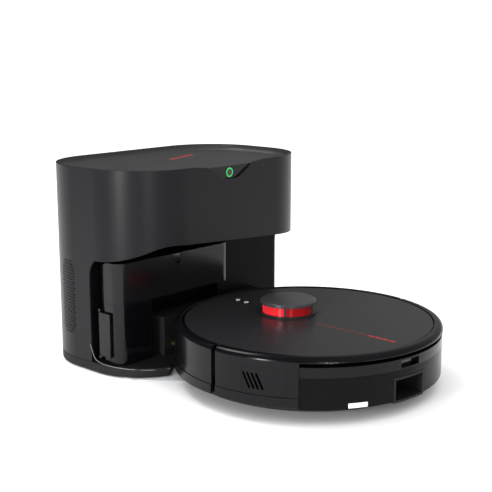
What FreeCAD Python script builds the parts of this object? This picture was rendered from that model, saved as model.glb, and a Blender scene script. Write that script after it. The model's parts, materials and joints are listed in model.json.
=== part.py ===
"""Robot vacuum parked in its self-emptying dock.

Row frame, millimetres: +Z up, the floor at z = 0, the dock's back towards +Y and its open front towards -Y.
The origin lies on the floor under the middle of the whole set. The dock's pieces are drawn round the dock's
own centre and the robot's pieces round the robot's own centre, with the robot's nose towards +Y. Each piece's
Placement then carries it into the row frame.
"""
import FreeCAD, Part
import math
import os
import re
import Sketcher
from FreeCAD import Placement, Rotation, Vector

# Driving dimensions: alias, value in millimetres or degrees (or a formula of earlier ones), what it is.
DIMS = [
    # the set
    ("park_distance", 240, "dock centre to robot centre"),
    ("dock_turn", 6.5, "dock turned against the parked robot, degrees"),
    ("play", 0.3, "running gap between pieces that move on each other"),
    ("fit_gap", 0.15, "gap between pieces fixed beside each other"),
    ("bore_play", 0.05, "radial clearance of a pin in its bore"),
    # dock housing
    ("dock_width", 352, "dock, left to right"),
    ("dock_depth", 220, "dock, front to back"),
    ("dock_height", 275, "floor to the dock's rim"),
    ("dock_corner", 88, "plan radius of the dock's corners"),
    ("dock_wall", 3, "dock shell wall"),
    ("foot_height", 1.6, "rubber feet, and the floor mat's space"),
    ("foot_radius", 9, "rubber feet"),
    ("base_top", 14, "top of the dock's base"),
    ("lintel_right", 157, "lower edge of the dock's upper housing, at the right end"),
    ("lintel_left", 152, "lower edge of the upper housing, at the left end"),
    ("lintel_top", 177, "where the two slopes of the lower edge meet"),
    ("lintel_x", -125, "where the two slopes meet, from the centre line"),
    ("lintel_round", 60, "rounding where the two slopes meet"),
    ("corner_z", 154.5, "corner of the cut-away's side profile"),
    ("soffit_z", 182, "top of the alcove's ceiling"),
    ("cup_bay_y", -11, "back of the cup bay, from the dock's centre"),
    ("alcove_y", -32, "back wall of the robot's alcove, from the dock's centre"),
    ("alcove_corner", 30, "rounding of the cut-away's upper corner"),
    ("wall_thick", 3, "alcove walls, soffit and inner plates"),
    ("berth_gap", 6, "room between the robot and the dock around it"),
    ("block_height", 68, "top of the docking block"),
    ("block_left", -92, "left end of the docking block"),
    ("block_right", 122, "right end of the docking block"),
    ("block_front", -64, "front face of the docking block"),
    # dock top
    ("tray_depth", 9, "rim down to the top cover's flat floor"),
    ("tray_floor", 4, "thickness of the top cover's floor"),
    ("rim_inset", 2, "flat border outside the top cover's slope"),
    ("scoop_x", -7, "middle of the front scoop, from the centre line"),
    ("scoop_width", 92, "width of the front scoop at its shoulders"),
    ("scoop_lip", 2.5, "scoop's shoulders below the rim"),
    ("scoop_flare", 34, "how far the scoop runs out past its shoulders"),
    ("scoop_flat", 26, "width of the front scoop at its foot"),
    ("scoop_depth", 21, "depth of the front scoop below the rim"),
    ("scoop_round", 18, "rounding at the foot of the scoop"),
    ("panel_reach", 64, "half width of the control panel"),
    ("panel_low", 240, "lower edge of the control panel"),
    ("panel_thick", 4, "control panel"),
    ("status_radius", 4.6, "status button"),
    ("status_drop", 13, "status button's centre below the rim"),
    ("led_width", 1.4, "light ring round the status button"),
    ("press_travel", 0.8, "travel of the push buttons"),
    # dust cup
    ("cup_left", -166, "left end of the dust cup"),
    ("cup_right", 46, "right end of the dust cup"),
    ("cup_front", -58, "front of the dust cup"),
    ("cup_back", -14, "back of the dust cup"),
    ("cup_leg_right", -100, "right end of the cup's lower leg"),
    ("cup_floor_z", 16, "underside of the dust cup"),
    ("cup_rim_z", 96, "joint between dust cup and separator head"),
    ("cup_head_z", 152, "top of the separator head"),
    ("cup_wall", 2, "dust cup wall"),
    ("cup_corner", 15, "plan radius of the cup's corners"),
    ("head_round", 26, "rounding along the head's upper back edge"),
    ("cup_travel", 230, "how far the dust cup slides out"),
    ("door_swing", 95, "opening of the cup's end door, degrees"),
    ("door_height", 60, "cup's end door"),
    ("hinge_radius", 1.2, "door hinge pin"),
    ("leaf_thick", 4, "cup's end door"),
    ("cone_radius", 9, "cyclone cone, upper radius"),
    ("cone_tip", 3.5, "cyclone cone, lower radius"),
    ("cone_count", 5, "cyclone cones in the row"),
    ("cone_pitch", 22, "between cyclone cones"),
    ("cone_height", 40, "cyclone cone"),
    ("filter_length", 56, "cup filter"),
    ("latch_size", 12, "cup latch"),
    ("latch_x", -60, "cup latch, from the centre line"),
    ("latch_drop", 14, "cup latch's recess, down from the top of the head"),
    # dock inside
    ("inlet_width", 48, "dust inlet and robot dust port, width"),
    ("inlet_height", 25, "dust inlet and robot dust port, height"),
    ("inlet_z", 21, "underside of the dust inlet and port"),
    ("seal_width", 4, "rubber border of the dust inlet"),
    ("contact_x", 74, "charging contacts, from the centre line"),
    ("contact_z", 28, "charging contacts, height"),
    ("contact_radius", 5, "dock charging contact"),
    ("contact_proud", 1.5, "dock charging contact standing out"),
    ("motor_radius", 44, "dock suction motor housing"),
    ("motor_height", 74, "dock suction motor housing"),
    ("motor_x", 96, "dock suction motor, from the centre line"),
    ("motor_y", 40, "dock suction motor, behind the centre"),
    ("duct_radius", 16, "dock suction duct"),
    ("duct_y", 30, "upright run of the duct, behind the centre"),
    ("filter_y", 40, "middle of the exhaust filter, behind the centre"),
    ("back_half", 92, "half width of the back cover"),
    ("back_low", 30, "lower edge of the back cover"),
    ("back_high", 230, "upper edge of the back cover"),
    ("screw_radius", 3, "screw heads"),
    ("screw_inset", 10, "screws in from the back cover's edges"),
    ("socket_half", 16, "half width of the mains inlet's hole"),
    ("socket_low", 38, "lower edge of the mains inlet's hole"),
    ("socket_high", 60, "upper edge of the mains inlet's hole"),
    ("mat_thick", 1.3, "clear floor mat"),
    ("mat_back_half", 163, "half the mat's width at the dock"),
    ("mat_front_half", 80, "half the mat's width at its front edge"),
    ("mat_shoulder_y", -78, "where the mat starts to narrow"),
    ("mat_front_y", -186, "front edge of the mat"),
    ("mat_back_y", -46, "back edge of the mat"),
    # robot outside
    ("robot_radius", 175, "robot body over its lower lip"),
    ("lip_reach", 1, "lower lip standing out from the side wall"),
    ("keel_z", 12, "underside of the chassis"),
    ("keel_radius", "=robot_radius - 19", "flat part of the chassis floor"),
    ("skirt_z", 22.5, "lower edge of the side wall"),
    ("strip_z", 34, "top of the lower lip"),
    ("shoulder_z", 74, "where the side wall starts to round over"),
    ("plate_z", 82, "top of the robot's plate"),
    ("plate_radius", "=robot_radius - 14.2", "robot's plate"),
    ("plate_thick", 2.6, "robot's plate"),
    ("deck_thick", 2.4, "deck under the plate"),
    ("rim_crown", 0.8, "rim standing above the plate"),
    ("rim_round", 7, "rounding of the rim"),
    ("rim_gap", 0.9, "groove between the plate and the rear rim"),
    ("body_wall", 2.6, "robot side wall"),
    ("floor_thick", 3, "chassis floor"),
    ("seam_angle", 5, "bumper ends behind the robot's middle, degrees"),
    ("seam_gap", 1.1, "half the gap behind the bumper, degrees"),
    ("bumper_travel", 3, "bumper travel"),
    ("nose_radius", "=robot_radius - 11", "chassis inside the bumper"),
    ("sensor_half", 38, "half angle of the bumper's sensor window, degrees"),
    # rear module
    ("bin_angle", 48, "half angle of the rear module"),
    ("bin_wide_y", -106, "front of the module's wide part"),
    ("bin_neck", 84, "half width of the module's front part"),
    ("bin_front_y", -66, "front of the module"),
    ("bin_split_z", 58, "joint between water tank and dust box"),
    ("bin_top_z", 71, "top of the module"),
    ("bin_floor_z", 20, "underside of the module"),
    ("bin_wall", 2.2, "module wall"),
    ("bin_travel", 118, "how far the module slides out"),
    ("port_frame", 3, "frame round the dust port"),
    ("grip_width", 32, "latch recess"),
    ("grip_height", 9.5, "latch recess"),
    ("grip_depth", 17, "latch recess"),
    ("latch_set", 8, "latch behind the side wall"),
    ("module_gap", 5, "dark gap between the module and the rim"),
    ("gap_depth", 8, "gap over the module, depth"),
    ("latch_thick", 5, "latch"),
    ("latch_travel", 3, "latch travel"),
    ("outlet_angle", 25, "tank outlet, degrees from the rear"),
    ("outlet_half", 4, "half angle of the tank outlet"),
    ("outlet_height", 6, "tank outlet"),
    ("vent_angle", 61.8, "vent grille centre, degrees from the rear"),
    ("vent_half", 9.2, "half angle of the vent grille"),
    ("vent_low", 34, "lower edge of the vent grille"),
    ("vent_high", 67, "upper edge of the vent grille"),
    ("vent_slots", 4, "slots in the vent grille"),
    ("slot_pitch", 5.6, "between vent slots"),
    ("slot_angle", 66.3, "middle of the vent slots, degrees from the rear"),
    ("slot_height", 21, "vent slots, height"),
    ("slot_width", 3, "vent slot"),
    ("slot_lean", 25, "lean of the vent slots, degrees"),
    # robot inside
    ("fan_radius", 19, "robot's suction fan"),
    ("fan_x", "=0.6 * robot_radius + 9", "robot's suction fan, from the centre line"),
    ("fan_y", "=29 - 0.6 * robot_radius", "robot's suction fan, from the robot's centre"),
    ("board_low", 51, "underside of the robot's main board"),
    ("battery_half", 64, "half width of the battery"),
    ("battery_back", -10, "back of the battery"),
    ("battery_front", 60, "front of the battery"),
    ("battery_top", 46, "top of the battery"),
    # lidar
    ("lidar_y", 38, "lidar ahead of the robot's centre"),
    ("lidar_radius", 37, "lidar cap"),
    ("lidar_top", 100.5, "top of the lidar cap"),
    ("cap_thick", 4.6, "lidar cap"),
    ("cap_round", 2.5, "rounding of the cap's edge"),
    ("turret_ring", 2.4, "height of the turret's foot above the plate"),
    ("window_radius", 34, "red window"),
    ("window_thick", 1.6, "red window"),
    ("post_left", 220, "post between the two bright windows, degrees"),
    ("post_right", 295, "wide post on the lidar's right, degrees"),
    ("post_front", 90, "post at the lidar's front, degrees"),
    ("post_half", 2.5, "half angle of the narrow posts"),
    ("post_wide_half", 7, "half angle of the wide post"),
    ("post_gap", 0.4, "angle between a post and its windows"),
    ("cap_travel", 1.2, "lidar cap travel"),
    ("rotor_radius", 26, "spinning lidar head"),
    ("rotor_low", 72, "underside of the spinning head"),
    ("rotor_high", 93, "top of the spinning head"),
    ("lens_radius", 4.2, "lidar eyes"),
    ("lens_spread", 9, "lidar eyes from the middle"),
    # buttons on the robot
    ("button_x", -9.5, "robot buttons, from the centre line"),
    ("power_y", "=robot_radius - 46", "power button"),
    ("home_y", "=power_y - 17", "home button"),
    ("button_radius", 6.5, "robot buttons"),
    # drive wheels
    ("wheel_x", 116, "drive wheel centre, from the centre line"),
    ("wheel_radius", 32, "drive wheel"),
    ("wheel_width", 18, "drive wheel"),
    ("hub_radius", 25, "drive wheel hub"),
    ("well_in", 86, "wheel well, inner side"),
    ("well_out", 130, "wheel well, outer side"),
    ("well_back", -42, "wheel well, back"),
    ("well_front", 74, "wheel well, front"),
    ("well_top", 70, "wheel well, top"),
    ("well_wall", 2, "wheel well wall"),
    ("pivot_y", 56, "suspension pivot"),
    ("pivot_z", 40, "suspension pivot"),
    ("pin_radius", 3, "pivot pins"),
    ("arm_thick", 13, "gearbox arm"),
    ("arm_low", 20, "underside of the gearbox arm"),
    ("arm_high", 50, "top of the gearbox arm"),
    ("arm_drop", 14, "wheel drop when lifted, degrees"),
    ("axle_radius", 4, "drive wheel axle"),
    ("spring_radius", 4, "suspension spring"),
    # main brush
    ("brush_y", -38, "main brush, from the robot's centre"),
    ("brush_z", 23, "main brush axis"),
    ("brush_radius", 20.5, "main brush over its blades"),
    ("brush_core", 9, "main brush core"),
    ("brush_half", 74, "half length of the main brush"),
    ("bay_half", 80, "half width of the brush bay"),
    ("bay_depth", 46, "brush bay, front to back"),
    ("bay_top", 48, "top of the brush bay"),
    ("blade_count", 6, "blades of the main brush"),
    ("blade_thick", 2.4, "blade thickness"),
    ("guard_thick", 2, "brush guard"),
    ("guard_slot", 19.5, "half opening of the brush guard"),
    # side brush
    ("sweeper_x", "=0.6 * robot_radius - 9", "side brush, from the centre line"),
    ("sweeper_y", "=0.6 * robot_radius - 5", "side brush, from the robot's centre"),
    ("sweeper_reach", 58, "side brush arms"),
    ("sweeper_hub", 11, "side brush hub"),
    ("sweeper_low", 3, "underside of the side brush arms"),
    ("sweeper_arms", 3, "side brush arms, count"),
    # caster
    ("caster_y", "=robot_radius - 47", "caster swivel"),
    ("caster_trail", 4, "caster wheel behind its swivel"),
    ("caster_radius", 13, "caster wheel"),
    ("caster_width", 14, "caster wheel"),
    ("caster_floor", 1.8, "caster wheel's lowest point, just over the mat"),
    ("caster_well", 19.5, "caster well"),
    ("fork_radius", 18, "caster fork plate"),
    ("stem_radius", 4, "caster stem"),
]

ALIASES = {alias for alias, _, _ in DIMS}
doc = FreeCAD.newDocument("robot_vacuum_and_dock")
sheet = doc.addObject("Spreadsheet::Sheet", "Dims")
for row, (alias, value, meaning) in enumerate(DIMS, 1):
    sheet.set(f"A{row}", meaning)
    sheet.set(f"B{row}", str(value))
    sheet.setAlias(f"B{row}", alias)
doc.recompute()


# ---------------------------------------------------------------- drawing helpers

def links(text):
    """The same expression with every alias pointed at its cell in the sheet."""
    return re.sub(r"[a-z]\w*", lambda word: f"Dims.{word[0]}" if word[0] in ALIASES else word[0], str(text))


def size(text):
    """The number that an expression in the sheet's aliases comes to."""
    number = sheet.evalExpression(links(text))
    return float(getattr(number, "Value", number))


def bind(thing, prop, text):
    """Bind a property to an expression; a bare number is simply set."""
    if any(word in ALIASES for word in re.findall(r"[a-z]\w*", str(text))):
        thing.setExpression(prop, links(text))
        return
    owner, _, last = prop.rpartition(".")
    target = thing
    for step in owner.split(".") if owner else []:
        target = getattr(target, step)
    if owner.startswith("Placement"):
        place = thing.Placement
        setattr(place.Base, last, size(text))
        thing.Placement = place
    else:
        setattr(target, last, size(text))


TURNS = {"x": Rotation(Vector(0, 1, 0), 90), "y": Rotation(Vector(1, 0, 0), -90), "z": Rotation()}


def primitive(kind, name, sizes, at, along="z"):
    """One primitive with its sizes and its foot point bound to the sheet."""
    thing = doc.addObject(f"Part::{kind}", name)
    for prop, text in sizes.items():
        bind(thing, prop, text)
    thing.Placement = Placement(Vector(), TURNS[along])
    for axis, text in zip("xyz", at):
        bind(thing, f"Placement.Base.{axis}", text)
    return thing


def box(name, x_span, y_span, z_span):
    """A box between two planes on each axis."""
    spans = (x_span, y_span, z_span)
    sizes = {prop: f"({high}) - ({low})" for prop, (low, high) in zip(("Length", "Width", "Height"), spans)}
    return primitive("Box", name, sizes, [low for low, _ in spans])


def rod(name, radius, span, at, along="z"):
    """A round bar along one axis: its span on that axis, and the other two coordinates of its middle line."""
    low, high = span
    first, second = at
    foot = {"x": (low, first, second), "y": (first, low, second), "z": (first, second, low)}[along]
    return primitive("Cylinder", name, {"Radius": radius, "Height": f"({high}) - ({low})"}, foot, along)


def wedge(name, radius, z_span, start, end):
    """A pie slice about the z axis, from one angle to another, in degrees from +X."""
    low, high = z_span
    sizes = {"Radius": radius, "Height": f"({high}) - ({low})", "Angle": f"({end}) - ({start})"}
    slice_ = primitive("Cylinder", name, sizes, ("0", "0", low))
    slice_.Placement = Placement(slice_.Placement.Base, Rotation(Vector(0, 0, 1), size(start)))
    slice_.setExpression("Placement.Rotation.Angle", links(start))
    return slice_


def cut(name, base, *tools):
    """The base with the tools' shapes taken away."""
    result = doc.addObject("Part::Cut", name)
    result.Base = base
    result.Tool = tools[0] if len(tools) == 1 else fuse(f"{name}_tools", *tools)
    return result


def fuse(name, *pieces):
    result = doc.addObject("Part::MultiFuse", name)
    result.Shapes = list(pieces)
    return result


def common(name, *pieces):
    result = doc.addObject("Part::MultiCommon", name)
    result.Shapes = list(pieces)
    return result


def group(name, *pieces):
    """Separate solids kept as one node."""
    result = doc.addObject("Part::Compound", name)
    result.Links = list(pieces)
    return result


def sketch_on(body, plane, outline):
    """A closed polygon on one of the body's own planes, each corner bound by two distances from the origin."""
    sketch = body.newObject("Sketcher::SketchObject", f"{body.Name}_{plane}")
    support = next(item for item in body.Origin.OriginFeatures if item.Role == plane)
    sketch.AttachmentSupport = [(support, "")]
    sketch.MapMode = "FlatFace"
    corners = [Vector(size(across), size(up), 0) for across, up in outline]
    for here, there in zip(corners, corners[1:] + corners[:1]):
        sketch.addGeometry(Part.LineSegment(here, there))
    count = len(outline)
    for line in range(count):
        sketch.addConstraint(Sketcher.Constraint("Coincident", line, 2, (line + 1) % count, 1))
    for line, (point, texts) in enumerate(zip(corners, outline)):
        for kind, number, text in zip(("DistanceX", "DistanceY"), point, texts):
            index = sketch.addConstraint(Sketcher.Constraint(kind, -1, 1, line, 1, number))
            if str(text) != "0":
                sketch.setExpression(f"Constraints[{index}]", links(text))
    return sketch


def prism(name, outline, span, plane="XY_Plane"):
    """A padded body: a polygon carried along its plane's own axis, from the span's low end to its high end.

    XY_Plane pads towards +Z, YZ_Plane towards +X, and XZ_Plane towards +Y, where the sketch's normal is -Y.
    """
    low, high = span
    body = doc.addObject("PartDesign::Body", name)
    sketch = sketch_on(body, plane, outline)
    backwards = plane == "XZ_Plane"
    offset = f"-({high})" if backwards else low
    sketch.setExpression("AttachmentOffset.Base.z", links(offset))
    pad = body.newObject("PartDesign::Pad", f"{name}_pad")
    pad.Profile = sketch
    pad.setExpression("Length", links(f"({high}) - ({low})"))
    body.Tip = pad
    doc.recompute()
    return body


def revolved(name, outline):
    """A turned body: a polygon of (radius, height) corners turned once round the z axis."""
    body = doc.addObject("PartDesign::Body", name)
    sketch = sketch_on(body, "XZ_Plane", outline)
    turn = body.newObject("PartDesign::Revolution", f"{name}_turn")
    turn.Profile = sketch
    turn.ReferenceAxis = (sketch, ["V_Axis"])
    turn.Angle = 360
    body.Tip = turn
    doc.recompute()
    return body


def rounded(body, radius, wanted):
    """Round the edges of the body's last feature that the test picks, with a radius from the sheet."""
    last = body.Tip
    names = [f"Edge{number}" for number, edge in enumerate(last.Shape.Edges, 1) if wanted(edge)]
    fillet = body.newObject("PartDesign::Fillet", f"{body.Name}_round{len(body.Group)}")
    fillet.Base = (last, names)
    fillet.setExpression("Radius", links(radius))
    body.Tip = fillet
    doc.recompute()
    return body


def upright(edge):
    """Whether an edge is a straight line along z."""
    box_ = edge.BoundBox
    return box_.XLength < 1e-4 and box_.YLength < 1e-4


def along_x_at(y, z):
    """A test for straight edges along x at one place in y and z."""
    def wanted(edge):
        box_ = edge.BoundBox
        level = box_.YLength < 1e-4 and box_.ZLength < 1e-4
        return level and abs(box_.YMin - size(y)) < 1e-3 and abs(box_.ZMin - size(z)) < 1e-3
    return wanted


def circle_at(radius, z):
    """A test for whole circles of one radius at one height."""
    def wanted(edge):
        round_ = isinstance(edge.Curve, Part.Circle) and abs(edge.Curve.Radius - size(radius)) < 1e-3
        return round_ and abs(edge.BoundBox.ZMin - size(z)) < 1e-3 and edge.BoundBox.ZLength < 1e-4
    return wanted


def dock_slab(name, inset, z_span):
    """A slab with the dock's own plan outline, drawn in by an inset on every side."""
    half_x = f"dock_width / 2 - ({inset})"
    half_y = f"dock_depth / 2 - ({inset})"
    corners = [(f"-({half_x})", f"-({half_y})"), (half_x, f"-({half_y})"), (half_x, half_y),
               (f"-({half_x})", half_y)]
    return rounded(prism(name, corners, z_span), f"dock_corner - ({inset})", upright)


def rounded_box(name, x_span, y_span, z_span, corner):
    """A box with its four upright edges rounded."""
    (left, right), (front, back) = x_span, y_span
    corners = [(left, front), (right, front), (right, back), (left, back)]
    return rounded(prism(name, corners, z_span), corner, upright)


def turned(thing, *turns):
    """Carry a finished box round by placements of its own, the last given first."""
    doc.recompute()
    place = thing.Placement
    for axis in "xyz":
        thing.setExpression(f"Placement.Base.{axis}", None)
    for turn in reversed(turns):
        place = turn * place
    thing.Placement = place
    return thing


NODES = []


def keep(home, thing, name):
    """Name a finished sub-part, and note whose centre it is drawn round."""
    thing.Label = name
    NODES.append((name, thing, home))
    return thing


# ---------------------------------------------------------------- dock housing

def berth_tool(name, z_span, extra="0"):
    """The round space that the parked robot takes out of the dock."""
    return rod(name, f"robot_radius + berth_gap + {extra}", z_span, ("0", "-park_distance"))


def scoop_tool(name):
    """The front scoop: a flat-footed V through the front wall, rounded at its foot."""
    low = "dock_height - scoop_depth"
    high = "dock_height + 1"
    shoulder = "dock_height - scoop_lip"
    outline = [
        ("scoop_x - scoop_flat / 2", low),
        ("scoop_x + scoop_flat / 2", low),
        ("scoop_x + scoop_width / 2", shoulder),
        ("scoop_x + scoop_width / 2 + scoop_flare", high),
        ("scoop_x - scoop_width / 2 - scoop_flare", high),
        ("scoop_x - scoop_width / 2", shoulder),
    ]
    body = prism(name, outline, ("-dock_depth / 2 - 1", "-dock_depth / 2 + dock_wall + 1"), "XZ_Plane")
    return rounded(body, "scoop_round", lambda edge: edge.BoundBox.ZLength < 1e-4
                   and edge.BoundBox.XLength < 1e-4 and edge.BoundBox.ZMin < size(high) - 0.1)


def alcove_tool(name, back, x_span):
    """What is cut away under the upper housing: its side profile, under the sloping lower edge."""
    side = prism(f"{name}_side", [
        ("-dock_depth", "base_top - 1"),
        (back, "base_top - 1"),
        (back, "corner_z"),
        ("-dock_depth / 2", "lintel_top + 1"),
        ("-dock_depth", "lintel_top + 1"),
    ], x_span, "YZ_Plane")
    rounded(side, "alcove_corner", along_x_at(back, "corner_z"))
    reach = "dock_width / 2 + 5"
    front = prism(f"{name}_front", [
        (f"-({reach})", "0"),
        (reach, "0"),
        (reach, "lintel_right"),
        ("lintel_x", "lintel_top"),
        (f"-({reach})", "lintel_left"),
    ], ("-dock_depth - 1", "0"), "XZ_Plane")
    rounded(front, "lintel_round",
            lambda edge: edge.BoundBox.ZLength < 1e-4 and edge.BoundBox.XLength < 1e-4
            and abs(edge.BoundBox.XMin - size("lintel_x")) < 1e-3)
    return common(name, side, front)


def build_housing():
    feet = []
    for side in ("-", ""):
        for number, y in enumerate(("-dock_depth / 8", "dock_depth / 3")):
            feet.append(rod(f"foot{side}{number}", "foot_radius", ("0", "foot_height"),
                            (f"{side}dock_width / 3", y)))
    keep("dock", group("feet", *feet), "dock_feet")

    slab = dock_slab("base_slab", "0", ("foot_height", "base_top"))
    sweep = rod("sweep_room", "sweeper_reach + berth_gap", ("0", "base_top + 1"), (
        "sweeper_x * cos(dock_turn) + sweeper_y * sin(dock_turn)",
        "sweeper_y * cos(dock_turn) - sweeper_x * sin(dock_turn) - park_distance"))
    keep("dock", cut("base", slab, berth_tool("base_berth", ("0", "base_top + 1")), sweep), "dock_base")

    mat = prism("mat", [
        ("-mat_back_half", "mat_back_y"), ("-mat_back_half", "mat_shoulder_y"),
        ("-mat_front_half", "mat_front_y"), ("mat_front_half", "mat_front_y"),
        ("mat_back_half", "mat_shoulder_y"), ("mat_back_half", "mat_back_y"),
    ], ("0", "mat_thick"))
    keep("dock", mat, "floor_mat")

    wall = cut("wall_ring", dock_slab("wall_out", "0", ("base_top + fit_gap", "dock_height")),
               dock_slab("wall_in", "dock_wall", ("base_top - 1", "dock_height + 1")))
    window = box("back_window", ("-back_half - fit_gap", "back_half + fit_gap"),
                 ("dock_depth / 2 - dock_wall - 1", "dock_depth / 2 + 1"),
                 ("back_low - fit_gap", "back_high + fit_gap"))
    shell = cut("shell", wall,
                alcove_tool("shell_left", "cup_bay_y", ("-dock_width", "cup_right + fit_gap")),
                alcove_tool("shell_right", "alcove_y", ("cup_right", "dock_width")),
                scoop_tool("shell_scoop"), window)
    keep("dock", shell, "dock_shell")

    cover = box("cover_plate", ("-back_half", "back_half"),
                ("dock_depth / 2 - dock_wall", "dock_depth / 2 - 0.4"), ("back_low", "back_high"))
    holes, heads = [], []
    for side in ("-", ""):
        for number, z in enumerate(("back_low + screw_inset", "back_high - screw_inset")):
            x = f"{side}(back_half - screw_inset)"
            holes.append(rod(f"screw_hole{side}{number}", "screw_radius + fit_gap",
                             ("dock_depth / 2 - dock_wall - 1", "dock_depth / 2 + 1"), (x, z), "y"))
            heads.append(rod(f"screw{side}{number}", "screw_radius",
                             ("dock_depth / 2 - dock_wall - 4", "dock_depth / 2 - 1"), (x, z), "y"))
    socket_hole = box("socket_hole", ("-socket_half", "socket_half"),
                      ("dock_depth / 2 - dock_wall - 1", "dock_depth / 2 + 1"),
                      ("socket_low", "socket_high"))
    keep("dock", cut("cover", cover, socket_hole, *holes), "dock_back_cover")
    keep("dock", group("screws", *heads), "back_cover_screws")

    body = box("inlet_body", ("-socket_half + 0.2", "socket_half - 0.2"),
               ("dock_depth / 2 - dock_wall - 22", "dock_depth / 2 - 1"),
               ("socket_low + 0.2", "socket_high - 0.2"))
    recess = box("inlet_recess", ("-socket_half + 4", "socket_half - 4"),
                 ("dock_depth / 2 - 18", "dock_depth / 2"),
                 ("socket_low + 4", "socket_high - 4"))
    pins = [rod(f"inlet_pin{number}", "1.2", ("dock_depth / 2 - 19", "dock_depth / 2 - 6"),
                (x, "(socket_low + socket_high) / 2"), "y") for number, x in enumerate(("-5", "5"))]
    keep("dock", fuse("inlet", cut("inlet_case", body, recess), *pins), "mains_inlet")

    soffit_slab = dock_slab("soffit_slab", "dock_wall + fit_gap", ("soffit_z - wall_thick", "soffit_z"))
    front_part = fuse("soffit_plan",
                      box("soffit_left", ("-dock_width", "cup_right"), ("-dock_depth", "cup_bay_y"),
                                         ("0", "dock_height")),
                      box("soffit_right", ("cup_right - 1", "dock_width"), ("-dock_depth", "alcove_y"),
                          ("0", "dock_height")))
    ceiling = common("soffit", soffit_slab, front_part)

    step = "cup_right + fit_gap"
    wall_plan = prism("alcove_plan", [
        ("-dock_width / 2", "cup_bay_y"), (step, "cup_bay_y"), (step, "alcove_y"),
                                      ("dock_width / 2", "alcove_y"),
        ("dock_width / 2", "alcove_y + wall_thick"), (f"{step} + wall_thick", "alcove_y + wall_thick"),
        (f"{step} + wall_thick", "cup_bay_y + wall_thick"), ("-dock_width / 2", "cup_bay_y + wall_thick"),
    ], ("base_top + fit_gap", "soffit_z"))
    inside = dock_slab("alcove_inside", "dock_wall + fit_gap", ("0", "dock_height"))
    intake = rod("intake_hole", "duct_radius + fit_gap", ("cup_bay_y - 1", "cup_bay_y + wall_thick + 1"),
                 ("0", "(cup_rim_z + cup_head_z) / 2"), "y")
    duct_hole = rod("duct_hole", "duct_radius + fit_gap", ("alcove_y - 1", "cup_bay_y + wall_thick + 1"),
                    ("0", "inlet_z + duct_radius + fit_gap"), "y")
    wall = cut("alcove_upright", common("alcove_wall_shape", wall_plan, inside), intake, duct_hole)
    keep("dock", fuse("alcove", wall, ceiling), "alcove_wall")


def build_dock_top():
    slab = dock_slab("tray_slab", "dock_wall + fit_gap",
                     ("dock_height - tray_depth - tray_floor", "dock_height - 0.6"))
    low = "dock_height - tray_depth"
    hollow = dock_slab("tray_hollow", "dock_wall + rim_inset", (low, "dock_height + tray_depth"))
    rounded(hollow, "tray_depth - 1", lambda edge: edge.BoundBox.ZLength < 1e-4
            and abs(edge.BoundBox.ZMin - size(low)) < 1e-3)
    panel_room = box("panel_room", ("scoop_x - panel_reach - fit_gap", "scoop_x + panel_reach + fit_gap"),
                     ("-dock_depth / 2", "-dock_depth / 2 + dock_wall + panel_thick + press_travel + 1"),
                     ("0", "dock_height + 1"))
    keep("dock", cut("tray", slab, hollow, panel_room), "top_cover")

    x = "scoop_x"
    z = "dock_height - status_drop"
    front = "-dock_depth / 2 + dock_wall + fit_gap"
    back = f"{front} + panel_thick"
    plate = box("panel_plate", (f"{x} - panel_reach", f"{x} + panel_reach"), (front, back),
                ("panel_low", "dock_height - tray_depth + 5"))
    ring_out = "status_radius + play + led_width"
    hole = rod("panel_hole", f"{ring_out} + fit_gap", (f"{front} - 1", f"{back} + 1"), (x, z), "y")
    keep("dock", cut("panel", plate, hole), "control_panel")
    ring = cut("ring", rod("ring_out", ring_out, (f"{front} - 0.3", back), (x, z), "y"),
               rod("ring_in", "status_radius + play", (f"{front} - 1", f"{back} + 1"), (x, z), "y"))
    keep("dock", ring, "status_light_ring")
    button = rod("status", "status_radius", (f"{front} - 0.6", f"{back}"), (x, z), "y")
    keep("dock", button, "status_button")
    return box("panel_board", (f"{x} - 40", f"{x} + 40"), (f"{back} + press_travel + 1", f"{back} + 3.4"),
               ("panel_low + 2", "dock_height - tray_depth - tray_floor - 1"))


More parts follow.
